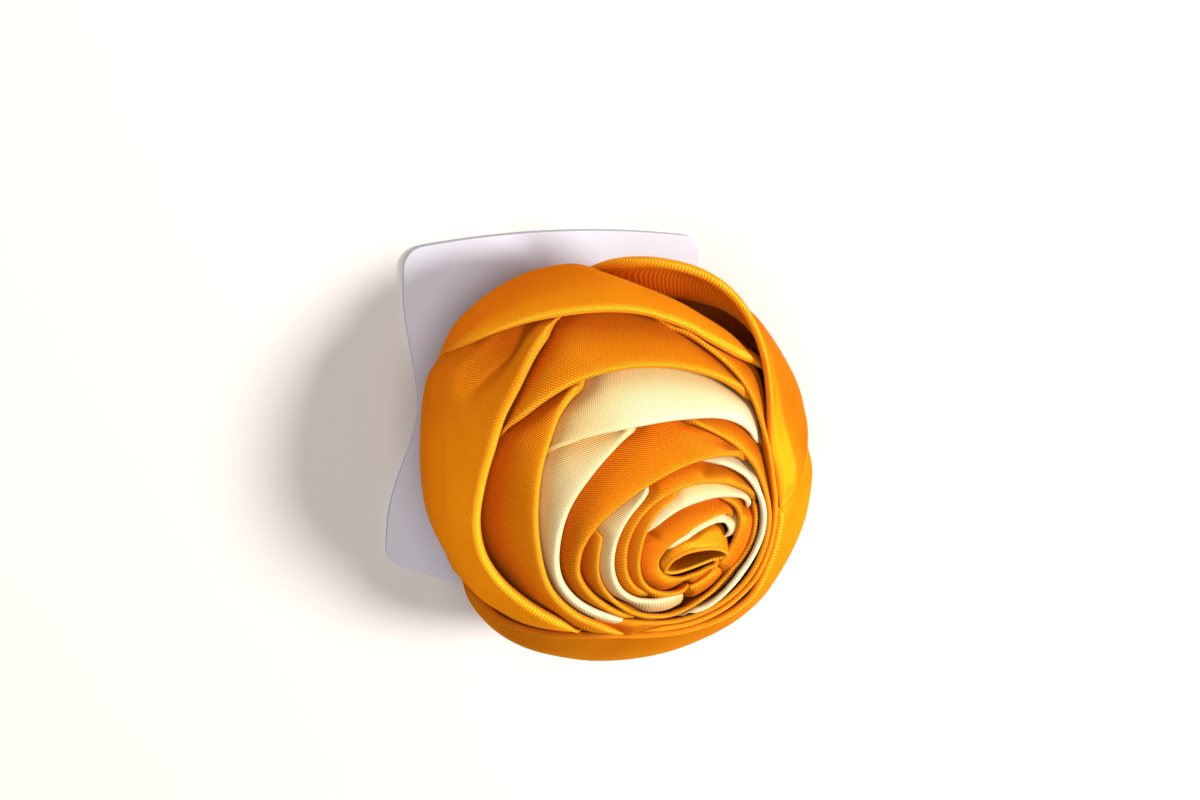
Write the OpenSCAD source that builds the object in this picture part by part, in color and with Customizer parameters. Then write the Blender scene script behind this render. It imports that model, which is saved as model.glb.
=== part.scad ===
// Satin ribbon rose brooch on its display card.
// Lengths are in millimetres and +Z is up. The origin is the middle of the
// underside of the card, which lies flat on the table.
// Turns are degrees about the bud, anticlockwise from above, 0 along +X.

/* [Flower] */
// Height of the top of the bud above the table
crown_height = 50; // [44:0.5:56]
// Height at which the flower is widest
waist_height = 18; // [14:0.5:24]
// Height of the gathered lower edge of the petals
base_height = 7.4; // [7:0.1:9]
// Size of the gathered lower edge against the waist
base_share = 0.78; // [0.7:0.01:0.9]
// Bud centre to the right of the card centre
bud_x = 16.3; // [10:0.1:20]
// Bud centre in front of the card centre
bud_y = -10.9; // [-16:0.1:-6]
// Reach of the flower from the bud, rows of turn and reach
outline = [[0, 35.6], [30, 38.4], [45, 40.2], [60, 43], [90, 50], [108, 52.8], [122, 56],
    [137, 57], [150, 53.8], [165, 49.8], [182, 46.4], [196, 43], [208, 42.6], [222, 42.4],
    [240, 39.4], [270, 35.2], [300, 33.4], [330, 33.6], [360, 35.6]]; // [0:0.1:60]

/* [Cloth] */
// Clear space kept between two folded layers
cloth_gap = 0.38; // [0.1:0.02:0.6]
// Turn between two sections of a petal
section_turn = 10; // [5:5:10]
// Wall of the small folds round the bud
thin_wall = 1; // [0.8:0.1:1.2]
// Wall of the folds in the middle of the crown
mid_wall = 1.1; // [1:0.1:1.4]
// Wall of the outer petals
outer_wall = 1.4; // [1.2:0.1:2]
// Wall of the rolled core of the bud
core_wall = 0.9; // [0.8:0.1:1.2]
// How much rounder the rim of the rolled core is than its wall
core_bead = 0.1; // [0:0.05:0.5]

/* [Bud] */
// Rolled core, rows of turn, reach of the rim from the bud centre and height
core_rows = [[0, 4, 47.3], [40, 2.8, 47.5], [90, 2, 48], [135, 3.2, 48], [180, 5.4, 47.5],
    [225, 3.6, 47.5], [270, 2.3, 47.5], [305, 3, 47.3], [335, 5, 47], [360, 4, 47.3]]; // [-30:0.1:400]
// Radius of the foot of the roll
stem_radius = 1.2; // [1:0.1:2.5]
// Shape of the roll, rows of spread from foot to rim and share of the way down
core_shape = [[1, 0], [1.08, 0.03], [1.1, 0.1], [1, 0.2], [0.8, 0.32], [0.5, 0.5],
    [0.2, 0.72], [0, 1]]; // [0:0.01:1.2]
// Cream fold behind the core
lining_rows = [[25, 7.9, 46.6], [32, 8.3, 47], [42, 8.2, 47.2], [60, 8, 47.5], [90, 5.8, 47.8],
    [120, 5, 47.8], [145, 5.4, 47.2], [155, 5.9, 46.2]]; // [0:0.1:400]
// Gold fold over the cream one
bud_back_rows = [[35, 10.4, 46.4], [48, 10, 47.3], [60, 9.5, 47.8], [75, 8.9, 48.2],
    [90, 7.8, 48.4], [105, 7.1, 48.5], [120, 6.9, 48.5], [135, 7, 48.3], [145, 7.4, 48],
    [155, 7.8, 47.2]]; // [0:0.1:400]
// Gold fold round the right side of the bud
bud_side_rows = [[-25, 7.5, 46], [-15, 7.9, 46.6], [0, 8.4, 47], [15, 9.5, 47.4], [30, 11, 47.6],
    [45, 11.7, 47.6], [58, 11.9, 47.2], [65, 11.8, 46]]; // [-60:0.1:400]

/* [Heart] */
// Small cream petal above the bud
heart_cream_rows = [[45, 13.8, 46.5], [56, 13.6, 47.6], [70, 12.6, 48.2], [89, 11.4, 48.6],
    [105, 10.9, 48.7], [120, 10.7, 48.8], [135, 10.6, 48.6], [145, 10.7, 48],
    [155, 10.6, 46.6]]; // [0:0.1:400]
// Gold fold round the left and front of the bud
heart_left_rows = [[105, 13.7, 47.8], [112, 13.4, 48.4], [120, 13.1, 48.6], [135, 12.6, 48.9],
    [150, 11.9, 49], [168, 11.2, 49], [191, 11, 48.9], [210, 10.6, 48.7], [225, 9.7, 48.6],
    [240, 8.4, 48.5], [255, 7.3, 48.3], [272, 6.6, 48], [290, 6.8, 47.6], [310, 7.6, 46.8],
    [325, 8.4, 45.7]]; // [0:0.1:400]
// Gold fold behind the small cream petal
heart_rear_rows = [[35, 14.8, 46], [46, 15.4, 46.9], [60, 15.7, 47.8], [80, 15.4, 48.5],
    [99, 15.1, 48.6], [114, 15, 48.8], [131, 14.9, 48.8], [148, 14.7, 48.8],
    [155, 14.5, 48.4]]; // [0:0.1:400]
// Narrow cream petal left of the bud
narrow_cream_rows = [[125, 17.5, 47.8], [132, 17, 48.4], [140, 16.9, 48.6], [153, 16.8, 48.6],
    [169, 16.6, 48.5], [193, 16.1, 48.1], [207, 15.2, 47.9], [220, 13.5, 48.1], [231, 12, 48.3],
    [245, 10.8, 48], [262, 10, 47.4], [275, 10, 46.6]]; // [0:0.1:400]
// Thin gold fold outside the narrow cream one
thin_gold_rows = [[165, 19.3, 47], [171, 19.3, 47.3], [178, 19.3, 47.4], [190, 19.2, 47.2],
    [203, 18.6, 46.9], [217, 17.6, 46.9], [231, 16.6, 47], [245, 15.6, 47.2],
    [255, 14.4, 46.4]]; // [0:0.1:400]
// Cream ring round the right side of the heart
cream_ring_rows = [[-95, 12.6, 46.6], [-86, 12.5, 47.4], [-75, 12.2, 48], [-60, 11.7, 48.3],
    [-45, 11.4, 48.5], [-30, 11.5, 48.6], [-15, 12.2, 48.5], [0, 13.5, 48.2], [15, 15.2, 47.7],
    [30, 16.9, 47.3], [45, 18, 47.2], [60, 18.6, 47.3], [74, 18.8, 46.8],
    [85, 18, 45]]; // [-120:0.1:400]

/* [Middle petals] */
// Wide gold petal above the heart
middle_rows = [[55, 21.1, 45], [64, 21.4, 46.2], [72, 21, 46.7], [86, 19.9, 47.4],
    [103, 19, 47.9], [117, 18.7, 48.2], [131, 19, 48.2], [145, 19.8, 47.9], [156, 20.9, 47.6],
    [168, 22, 47], [177, 22.6, 46.6], [186, 22.8, 46.2], [197, 22, 45.9],
    [205, 21, 45.1]]; // [0:0.1:400]
// Gold ring outside the cream ring
gold_ring_rows = [[-105, 16.6, 45.2], [-95, 16, 46], [-84, 15.3, 46.5], [-67, 14.6, 47],
    [-50, 14.5, 47.2], [-35, 14.8, 47.2], [-12, 15.5, 47.1], [4, 16.6, 46.7], [17, 18.2, 46.2],
    [28, 19.6, 45.9], [39, 20.9, 45.6], [49, 22.2, 45.3], [62, 24, 45], [71, 25.4, 44.2],
    [75, 25.9, 43.7]]; // [-120:0.1:400]
// Cream petal on the left
left_cream_rows = [[115, 28.1, 43.8], [121, 28.8, 45], [130, 28.1, 45.6], [142, 27.6, 45.8],
    [156, 27.4, 45.5], [171, 26.9, 45.2], [189, 26.1, 44.6], [202, 24.4, 44.5], [213, 22.3, 45],
    [225, 20.3, 45.4], [236, 19.2, 45], [245, 18.7, 43.9]]; // [0:0.1:400]
// Cream petal along the top
upper_cream_rows = [[55, 24.6, 42.4], [63, 26, 43.6], [70, 26.9, 44.1], [78, 27.4, 44.4],
    [94, 27.7, 45], [110, 28.9, 45.1], [121, 30.6, 44.7], [134, 33.7, 43.5], [140, 34.6, 42.4],
    [145, 34.2, 41.6]]; // [0:0.1:400]
// Narrow gold petal on the left
left_fold_rows = [[115, 36.8, 38.4], [124, 39.2, 39.8], [132, 39.2, 40.7], [140, 37.3, 41.7],
    [147, 35.7, 42.3], [161, 32.6, 43.1], [177, 30, 43.5], [196, 27.9, 43.4], [212, 25.4, 43.7],
    [223, 23.2, 44.2], [238, 21.3, 44.4], [246, 20.8, 44], [255, 19.2, 42]]; // [0:0.1:400]
// Wide gold petal along the top
upper_gold_rows = [[65, 30.6, 39.6], [71, 32, 40.5], [77, 33.3, 41], [88, 35.3, 41],
    [101, 37.6, 40.6], [112, 39.6, 40.1], [123, 41.4, 39.5], [135, 42.5, 38.8], [142, 43.2, 38],
    [150, 43, 37.3], [155, 39.8, 36]]; // [0:0.1:400]
// Long gold fold from the top right round to the front
long_fold_rows = [[-105, 18.7, 44], [-95, 18.2, 44.8], [-84, 17.6, 45.3], [-67, 17.2, 45.8],
    [-35, 17.8, 45.6], [-12, 18.4, 45.5], [4, 19.1, 45.3], [17, 20.6, 44.9], [28, 22, 44.5],
    [39, 23.3, 44.2], [52, 25.6, 44], [57, 27.4, 43.2], [62, 29.8, 42.2], [69, 32.7, 40.8],
    [76, 35.6, 39.3], [84, 38.8, 37.6], [90, 41.2, 35.4], [95, 43, 33.2]]; // [-120:0.1:400]

/* [Outer petals] */
// Big petal on the left
big_left_rows = [[115, 47.6, 30.2], [120, 49.8, 31.2], [127, 48.7, 33.5], [136, 46.5, 35.7],
    [145, 44.8, 36.6], [153, 43.2, 37.2], [163, 41.9, 37.2], [173, 40.8, 36.9], [182, 39.2, 37],
    [191, 36.6, 37.9], [201, 33, 39.6], [211, 29.6, 41.3], [219, 27.2, 42], [228, 25.8, 41.8],
    [235, 25.2, 40.7]]; // [0:0.1:400]
// Rolled petal over the top
top_roll_rows = [[65, 37.4, 28.6], [75, 40.7, 32.2], [84, 42.8, 33.8], [92, 44.2, 34.4],
    [101, 46.6, 33.4], [111, 48.8, 32.4], [119, 51, 30.2], [126, 52.6, 27.6], [133, 53.8, 24],
    [140, 54, 19], [145, 53.4, 14.5]]; // [0:0.1:400]
// Petal that wraps the front and the right
front_rows = [[205, 40.8, 14], [209, 40, 21], [214, 38, 28.5], [221, 34.6, 34.6], [230, 29.8, 39.6],
    [240, 25.7, 42.2], [255, 22.9, 43.6], [270, 21.3, 44.2], [285, 20.7, 44.5], [300, 20.7, 44.6],
    [315, 21.2, 44.3], [330, 21.9, 43.8], [345, 22.3, 43.5], [360, 22.3, 43.7], [375, 23.3, 43.8],
    [390, 24.9, 43.3], [399, 26, 42.3], [405, 26.6, 41.2]]; // [0:0.1:420]
// Outer petal at the top right
right_rows = [[35, 36.4, 29], [37, 33.8, 34], [42, 30.4, 40], [49, 29.6, 41.5],
    [54, 31.2, 41], [60, 34.2, 38.8], [66, 38, 35.8], [69, 40.6, 32.9], [74, 43.4, 30.3],
    [81, 46.4, 27], [88, 48.2, 24.6], [95, 49.4, 20], [105, 50.2, 10.5]]; // [0:0.1:400]

/* [Backing and pin] */
// Radius of the felt disc under the petals
felt_radius = 33; // [28:0.5:36]
// Thickness of the felt disc
felt_thickness = 1.4; // [1:0.1:2]
// Top of the felt disc above the table
felt_top = 6.5; // [6:0.1:7]
// Middle of the felt disc to the left of the bud
felt_left = 5.3; // [0:0.1:10]
// Middle of the felt disc behind the bud
felt_behind = 6; // [0:0.1:12]
// Length of the bar of the pin
bar_length = 38; // [25:1:50]
// Width of the bar of the pin
bar_width = 6; // [4:0.5:8]
// Thickness of the bar of the pin
bar_thickness = 0.8; // [0.5:0.1:1.2]
// Diameter of the needle
needle_diameter = 1; // [0.6:0.1:1.4]
// Height of the middle of the needle above the table
needle_height = 2.6; // [2:0.1:3]
// Width of the hinge block and of the catch block along the bar
block_width = 3; // [2:0.5:5]
// Middle of each block from its end of the bar
block_inset = 3; // [2:0.5:6]
// How far the needle runs past the middle of the catch block
needle_past = 2; // [0.5:0.5:2.5]
// Air between the bar and the felt disc
bar_gap = 0.1; // [0.05:0.05:0.3]

/* [Card] */
// Height of the card from its lower to its upper edge
card_height = 82; // [70:1:95]
// Width of the card at its upper edge
card_top_width = 64; // [50:1:80]
// Width of the card at its narrow middle
card_waist_width = 56; // [44:1:76]
// Width of the card at its lower edge
card_low_width = 68; // [50:1:84]
// Rise of the curved upper edge in its middle
card_top_bulge = 2; // [0:0.5:6]
// Drop of the curved lower edge in its middle
card_low_bulge = 8; // [0:0.5:12]
// Radius of the corners
card_corner = 4.5; // [2:0.5:10]
// Thickness of the card
card_thickness = 1.2; // [0.6:0.1:2]
// Length of the hanging slot
slot_length = 13; // [11:1:24]
// Height of the hanging slot
slot_height = 5; // [4.5:0.5:6]
// Middle of the slot below the upper edge
slot_drop = 10.5; // [7:0.5:12]

/* [Hidden] */
hub_height = 10;
dome_share = 0.14;
profile_steps = 7;
rim_cap_steps = 2;
bead_reach = 0.09;
under_turn = 28;
low_limit = 8;
far_away = 1000;
slope_limit = 1.8;
deep_gap = 1;
deep_reach = 9;
rim_slope = 1.25;
rim_out = 0.8;
rim_down = 0.6;
rim_clear = 0.5;
bead_zone = 3.5;
gape_zone = 5;
gape_drop = 1;
probe_turn = 1.5;
narrow_width = 2;
width_range = 6;
width_power = 0.7;
dip_depth = 0.9;
even_steps = 0.55;
soft_rise = 0.1;
cut_over = 1;
gold = [0.94, 0.59, 0.11];
cream = [0.98, 0.93, 0.72];
felt_white = [0.93, 0.93, 0.9];
steel = [0.75, 0.75, 0.77];
card_white = [0.93, 0.94, 0.99];
flower_x = bud_x - felt_left;
flower_y = bud_y + felt_behind;
// Width of the card, rows of height share and width.
card_widths = [[0, card_low_width], [0.12, card_low_width - 0.6], [0.5, card_waist_width],
    [0.9, card_top_width - 0.4], [1, card_top_width]];

// Each layer is [rows, wall, bead at the rim, gape under the rim, shares of the waist,
// slope of the layers that come out past its rim and how far it holds],
// from the innermost to the outermost.
layers = [
    [lining_rows, 0.9, 0.1, 0, [[0, 0.17]], [0.6, 4]],
    [bud_back_rows, thin_wall, 0.15, 0, [[0, 0.25]], [0.6, 4]],
    [bud_side_rows, thin_wall, 0.15, 0, [[0, 0.29]], [0.6, 4]],
    [heart_cream_rows, thin_wall, 0.2, 0, [[0, 0.33]], [0.6, 4]],
    [heart_left_rows, thin_wall, 0.2, 0, [[0, 0.38]], [0.6, 4]],
    [heart_rear_rows, thin_wall, 0.2, 0, [[0, 0.43]], [0.6, 4]],
    [narrow_cream_rows, thin_wall, 0.3, 0, [[0, 0.47]], [0.6, 4]],
    [cream_ring_rows, mid_wall, 0.3, 0.6, [[0, 0.52]], [0.6, 4]],
    [thin_gold_rows, thin_wall, 0.2, 0, [[0, 0.56]], [0.6, 4]],
    [middle_rows, mid_wall, 0.4, 0.8, [[0, 0.61]], [0.6, 4]],
    [gold_ring_rows, thin_wall, 0.2, 0, [[0, 0.65]], [0.6, 4]],
    [left_cream_rows, mid_wall, 0.5, 0.5, [[0, 0.68]], [0.6, 4]],
    [upper_cream_rows, mid_wall, 0.4, 0.4, [[0, 0.74]], [0.6, 4]],
    [left_fold_rows, 1.2, 0.6, 0.8, [[110, 0.80], [220, 0.82], [258, 0.84]], [0.6, 4]],
    [upper_gold_rows, 1.2, 0.5, 1.4, [[0, 0.85]], [0.6, 4]],
    [long_fold_rows, thin_wall, 0.3, 0, [[-104, 0.74], [30, 0.76], [60, 0.88], [100, 0.90]], [0.6, 4]],
    [big_left_rows, outer_wall, 0.9, 1.4, [[100, 0.93], [140, 0.935], [153, 0.99], [198, 0.99],
        [214, 0.93], [250, 0.9]], [0.5, 8]],
    [top_roll_rows, outer_wall, 0.9, 1.2, [[60, 0.93], [98, 0.94], [106, 1], [150, 1]], [0.6, 4]],
    [front_rows, outer_wall, 0.6, 1.2, [[205, 1], [370, 1], [392, 0.94], [420, 0.93]], [0, 14]],
    [right_rows, outer_wall, 0.5, 3, [[0, 1]], [0, 14]]];
LAYER_COUNT = len(layers);

// Value of column c of a table at x, by a smooth curve through the rows.
function row_rise(t, i, c) = (t[i + 1][c] - t[i][c]) / (t[i + 1][0] - t[i][0]);
function blend_rise(a, b) = a * b <= 0 ? 0 : a * b / (a + b) + 0.25 * (a + b);
function row_slope(t, j, c) = j == 0 ? row_rise(t, 0, c)
    : j == len(t) - 1 ? row_rise(t, j - 1, c)
    : blend_rise(row_rise(t, j - 1, c), row_rise(t, j, c));
function hermite(u, h, y0, y1, m0, m1) = (2 * u^3 - 3 * u^2 + 1) * y0 + (u^3 - 2 * u^2 + u) * m0 * h
    + (3 * u^2 - 2 * u^3) * y1 + (u^3 - u^2) * m1 * h;
function row_index(t, x) = len([for (r = t) if (r[0] <= x) 1]) - 1;
function smooth(t, x, c) = x <= t[0][0] ? t[0][c]
    : x >= t[len(t) - 1][0] ? t[len(t) - 1][c]
    : let (i = row_index(t, x), h = t[i + 1][0] - t[i][0])
        hermite((x - t[i][0]) / h, h, t[i][c], t[i + 1][c], row_slope(t, i, c), row_slope(t, i + 1, c));

// Outer shape of the flower in the upright plane at a turn, seen from the hub on its axis.
function wrap_turn(a) = a - 360 * floor(a / 360);
function reach(turn) = smooth(outline, wrap_turn(turn), 1);
function base_angle(turn) = atan2(base_height - hub_height, base_share * reach(turn));
function dome(turn, lift) = let (d = reach(turn), h = crown_height - waist_height,
        k = waist_height - hub_height,
        a = (cos(lift) / d)^2 + (sin(lift) / h)^2,
        b = -2 * k * sin(lift) / h^2,
        e = (k / h)^2 - 1,
        w = atan2(k, d),
        u = max(0, (w - lift) / (w - base_angle(turn))))
    (-b + sqrt(b * b - 4 * a * e)) / (2 * a) * (1 - dome_share * u * u);

// Turn of a layer's own table that matches a turn, or undef where the layer is absent.
function layer_turn(rows, a) = let (lo = rows[0][0], hi = rows[len(rows) - 1][0])
    a >= lo && a <= hi ? a : a + 360 >= lo && a + 360 <= hi ? a + 360
    : a - 360 >= lo && a - 360 <= hi ? a - 360 : undef;

// Distance from the hub to a line of lift and distance pairs, seen at lift q.
function line_at(q, line) = let (passed = len([for (i = [1:len(line) - 1]) if (line[i][0] > q) 1]),
        j = min(len(line) - 2, passed),
        a = line[j],
        b = line[j + 1])
    a[1] * b[1] * sin(a[0] - b[0]) / (a[1] * sin(a[0] - q) + b[1] * sin(q - b[0]));

// Farthest a point at lift may lie from the hub under one finished layer.
// A finished layer is [lift and distance pairs, wall, half of the rim, gape, slope past the rim].
function lift_off(over, slope, span) = slope * min(over, span) + rim_slope * max(0, over - span);
function under_one(layer, lift, half, slope) = let (line = layer[0],
        top = line[0][0],
        far = line[0][1],
        over = (lift - top) * far * PI / 180,
        q = min(lift, top),
        ahead = min(q + probe_turn, top),
        run = (ahead - q + probe_turn) * PI / 180 * far,
        rise = (line_at(ahead, line) - line_at(q - probe_turn, line)) / run,
        room = half + layer[1] / 2 + cloth_gap + deep_gap * ease(-over / deep_reach)
            + (layer[2] - layer[1] / 2) * max(0, 1 - abs(over) / bead_zone))
    line_at(q, line) - room * min(slope_limit, sqrt(1 + rise * rise))
        - layer[3] * max(0, 1 - abs(over + gape_drop) / gape_zone)
        + lift_off(max(0, over), max(slope, layer[4][0]), layer[4][1]);
function under_all(done, lift, half, slope) = min(concat([far_away],
    [for (d = done) under_one(d, lift, half, slope)]));

// Centre line of one layer, as lift and distance from the hub, under the finished ones.
function soften(v) = [for (i = [0:len(v) - 1]) i == 0 || i == len(v) - 1 ? v[i]
    : [v[i][0], min((v[i - 1][1] + 2 * v[i][1] + v[i + 1][1]) / 4, v[i][1] + soft_rise)]];
function step_share(i) = let (s = i / profile_steps) even_steps * s + (1 - even_steps) * s * s;
function nearest_step(share) = let (gaps = [for (i = [1:profile_steps - 1]) abs(step_share(i) - share)])
    search(min(gaps), gaps)[0] + 1;
function ease(u) = let (v = max(0, min(1, u))) v * v * (3 - 2 * v);
function layer_line(layer, turn, own, done) = let (wall = layer[1],
        half_rim = wall / 2 * (1 + layer[2]),
        r = smooth(layer[0], own, 1) + half_rim * rim_out,
        z = smooth(layer[0], own, 2) - half_rim * rim_down,
        lift = atan2(z - hub_height, r),
        far = min(norm([r, z - hub_height]), under_all(done, lift, half_rim, rim_slope)),
        foot = base_angle(turn),
        lower = [for (d = done) if (d[0][0][0] < lift - rim_clear) d[0][0][0]],
        next = min(max(concat([low_limit], lower)), lift - 1),
        share = smooth(layer[4], own, 1),
        width = (lift - next) * far * PI / 180,
        power = 1 + min(1, max(0, (width - narrow_width) / width_range)) * width_power,
        dip = len(lower) > 0 ? wall / 2 + cloth_gap + dip_depth : 0,
        offset_out = far - dome(turn, lift),
        snap = nearest_step((next - lift) / (foot - lift)))
    soften([for (i = [0:profile_steps]) let (a = i == snap ? next : lift + (foot - lift) * step_share(i),
            u = min(1, (lift - a) / (lift - next)),
            narrowing = 1 - (1 - share) * ease((next - a) / under_turn),
            free = (dome(turn, a) + offset_out * (1 - u)) * narrowing - dip * u^power,
            half = i == 0 ? half_rim : wall / 2)
        [a, i == 0 ? far : min(free, under_all(done, a, half, 0))]]);

// Finished layers at a turn, from the outermost down to layer number stop.
function stack(turn, stop, i = LAYER_COUNT - 1, done = []) = i < stop ? done
    : let (own = layer_turn(layers[i][0], turn)) is_undef(own) ? stack(turn, stop, i - 1, done)
    : let (layer = layers[i], line = layer_line(layer, turn, own, done),
            entry = [line, layer[1], layer[1] / 2 * (1 + layer[2]), layer[3], layer[5]])
        stack(turn, stop, i - 1, concat(done, [entry]));

// Closed section of a folded wall about a centre line of reach and height points.
function unit(v) = v / norm(v);
function along(line, i) = unit(line[min(i + 1, len(line) - 1)] - line[max(i - 1, 0)]);
function wall_section(line, wall, bead) = let (n = len(line) - 1,
        half = [for (i = [0:n]) wall / 2 * (1 + bead * exp(-(i / n / bead_reach)^2))],
        side = [for (i = [0:n]) let (t = along(line, i)) [-t[1], t[0]]],
        t0 = along(line, 0))
    concat([for (i = [n:-1:0]) line[i] + side[i] * half[i]],
        [for (j = [1:rim_cap_steps]) let (a = 180 * j / (rim_cap_steps + 1))
            line[0] + half[0] * (side[0] * cos(a) - t0 * sin(a))],
        [for (i = [0:n]) line[i] - side[i] * half[i]]);
function place(points, turn) = [for (p = points)
    [bud_x + p[0] * cos(turn), bud_y + p[0] * sin(turn), p[1]]];

// Solid through a list of equal closed sections, with flat ends or run round into a ring.
function side_pair(i, m, j, k, size) = [[i * size + k, m * size + k, m * size + j],
    [i * size + k, m * size + j, i * size + j]];
function end_strip(first, size, flip) = [for (j = [0:floor(size / 2) - 1]) for (t = [0, 1])
    let (a = first + j, b = first + size - 1 - j, f = t == 0 ? [a, a + 1, b] : [a + 1, b - 1, b])
    if (f[0] != f[1] && f[1] != f[2] && (t == 0 || a + 1 < b - 1)) flip ? [f[2], f[1], f[0]] : f];
module loft(sections, closed = false) {
    count = len(sections);
    size = len(sections[0]);
    spans = closed ? count : count - 1;
    sides = [for (i = [0:spans - 1]) for (j = [0:size - 1])
        for (f = side_pair(i, (i + 1) % count, j, (j + 1) % size, size)) f];
    ends = closed ? [] : concat(end_strip(0, size, true), end_strip((count - 1) * size, size, false));
    polyhedron(points = [for (s = sections) for (p = s) p], faces = concat(sides, ends), convexity = 10);
}

// One petal or fold, a folded wall that follows its table of turns.
module petal(number) {
    layer = layers[number];
    rows = layer[0];
    from = rows[0][0];
    to = rows[len(rows) - 1][0];
    steps = max(2, round((to - from) / section_turn));
    loft([for (i = [0:steps]) let (turn = from + (to - from) * i / steps,
            done = stack(turn, number),
            polar = done[len(done) - 1][0],
            line = [for (p = polar) [p[1] * cos(p[0]), hub_height + p[1] * sin(p[0])]])
        place(wall_section(line, layer[1], layer[2]), turn)]);
}

// Rolled tube of ribbon, pinched to a slit at its rim.
module bud_core() {
    steps = 360 / section_turn;
    color(gold) loft([for (i = [0:steps - 1]) let (turn = section_turn * (i + 0.5),
            r = smooth(core_rows, turn, 1) + thin_wall / 2,
            z = smooth(core_rows, turn, 2) - thin_wall / 2,
            line = [for (row = core_shape)
                [stem_radius + (r - stem_radius) * row[0], z + (base_height - z) * row[1]]])
        place(wall_section(line, core_wall, core_bead), turn)], closed = true);
}
module bud_lining() { color(cream) petal(0); }
module bud_back_fold() { color(gold) petal(1); }
module bud_side_fold() { color(gold) petal(2); }
module heart_cream_petal() { color(cream) petal(3); }
module heart_left_fold() { color(gold) petal(4); }
module heart_rear_fold() { color(gold) petal(5); }
module narrow_cream_petal() { color(cream) petal(6); }
module cream_ring() { color(cream) petal(7); }
module thin_gold_fold() { color(gold) petal(8); }
module middle_petal() { color(gold) petal(9); }
module gold_ring() { color(gold) petal(10); }
module left_cream_petal() { color(cream) petal(11); }
module upper_cream_petal() { color(cream) petal(12); }
module left_fold_petal() { color(gold) petal(13); }
module upper_gold_petal() { color(gold) petal(14); }
module long_fold() { color(gold) petal(15); }
module big_left_petal() { color(gold) petal(16); }
module top_roll_petal() { color(gold) petal(17); }
module front_petal() { color(gold) petal(18); }
module right_petal() { color(gold) petal(19); }

// Felt disc that the petals are stitched to.
module felt_disc() {
    color(felt_white) translate([flower_x, flower_y, felt_top - felt_thickness])
        cylinder(h = felt_thickness, r = felt_radius, $fn = 96);
}

// Bar pin, one plain closed piece: bar, hinge, needle and catch.
module bar_pin() {
    bar_top = felt_top - felt_thickness - bar_gap;
    block_drop = bar_top - needle_height + needle_diameter;
    block_middle = bar_length / 2 - block_inset;
    color(steel) translate([flower_x, flower_y, 0]) union() {
        translate([-bar_length / 2, -bar_width / 2, bar_top - bar_thickness])
            cube([bar_length, bar_width, bar_thickness]);
        for (side = [-1, 1])
            translate([side * block_middle - block_width / 2, -bar_width / 3, bar_top - block_drop])
                cube([block_width, bar_width * 2 / 3, block_drop - bar_thickness / 2]);
        translate([-block_middle, 0, needle_height]) rotate([0, 90, 0])
            cylinder(h = 2 * block_middle + needle_past, d = needle_diameter, $fn = 24);
    }
}

// Half width of the card at a height share from 0 at the lower edge to 1 at the upper edge.
function card_half(v) = smooth(card_widths, v, 1) / 2;
function card_bow(u, bulge) = bulge * (1 - u * u);

// Outline of the card, drawn inside by the corner radius and then rounded out.
module card_outline() {
    rings = 14;
    inset = card_corner;
    low = -card_height / 2;
    side_foot = low + card_low_bulge + inset;
    side_height = card_height - card_low_bulge - card_top_bulge - 2 * inset;
    right = [for (i = [0:rings]) [card_half(i / rings) - inset, side_foot + i / rings * side_height]];
    upper = [for (i = [1:rings - 1]) let (u = 1 - 2 * i / rings)
        [u * (card_half(1) - inset), side_foot + side_height + card_bow(u, card_top_bulge)]];
    left = [for (i = [rings:-1:0]) [-right[i][0], right[i][1]]];
    lower = [for (i = [1:rings - 1]) let (u = -1 + 2 * i / rings)
        [u * (card_half(0) - inset), side_foot - card_bow(u, card_low_bulge)]];
    offset(r = inset, $fn = 48) polygon(concat(right, upper, left, lower));
}

// Display card with its hanging slot.
module display_card() {
    slot_middle = card_height / 2 - slot_drop;
    slot_straight = slot_length - slot_height;
    color(card_white) difference() {
        linear_extrude(height = card_thickness) card_outline();
        for (side = [-1, 1])
            translate([side * slot_straight / 2, slot_middle, -cut_over])
                cylinder(h = card_thickness + 2 * cut_over, d = slot_height, $fn = 32);
        translate([-slot_straight / 2, slot_middle - slot_height / 2, -cut_over])
            cube([slot_straight, slot_height, card_thickness + 2 * cut_over]);
    }
}

bud_core();
bud_lining();
bud_back_fold();
bud_side_fold();
heart_cream_petal();
heart_left_fold();
heart_rear_fold();
narrow_cream_petal();
cream_ring();
thin_gold_fold();
middle_petal();
gold_ring();
left_cream_petal();
upper_cream_petal();
left_fold_petal();
upper_gold_petal();
long_fold();
big_left_petal();
top_roll_petal();
front_petal();
right_petal();
felt_disc();
bar_pin();
display_card();
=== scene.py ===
# %% [markdown]
# # A satin rose brooch on its display card
# This lesson dresses a small brooch: a rose rolled from folded satin ribbon, marigold and cream, with
# a felt backing and a bar pin, held on a plain white card. Every piece is made in the CAD model's own
# frame, so nothing has to be fitted afterwards. Lengths are in millimetres until a mesh is made.

# %% Load the frame
import math
import bpy
import numpy as np
from mathutils import Matrix, Vector


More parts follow.
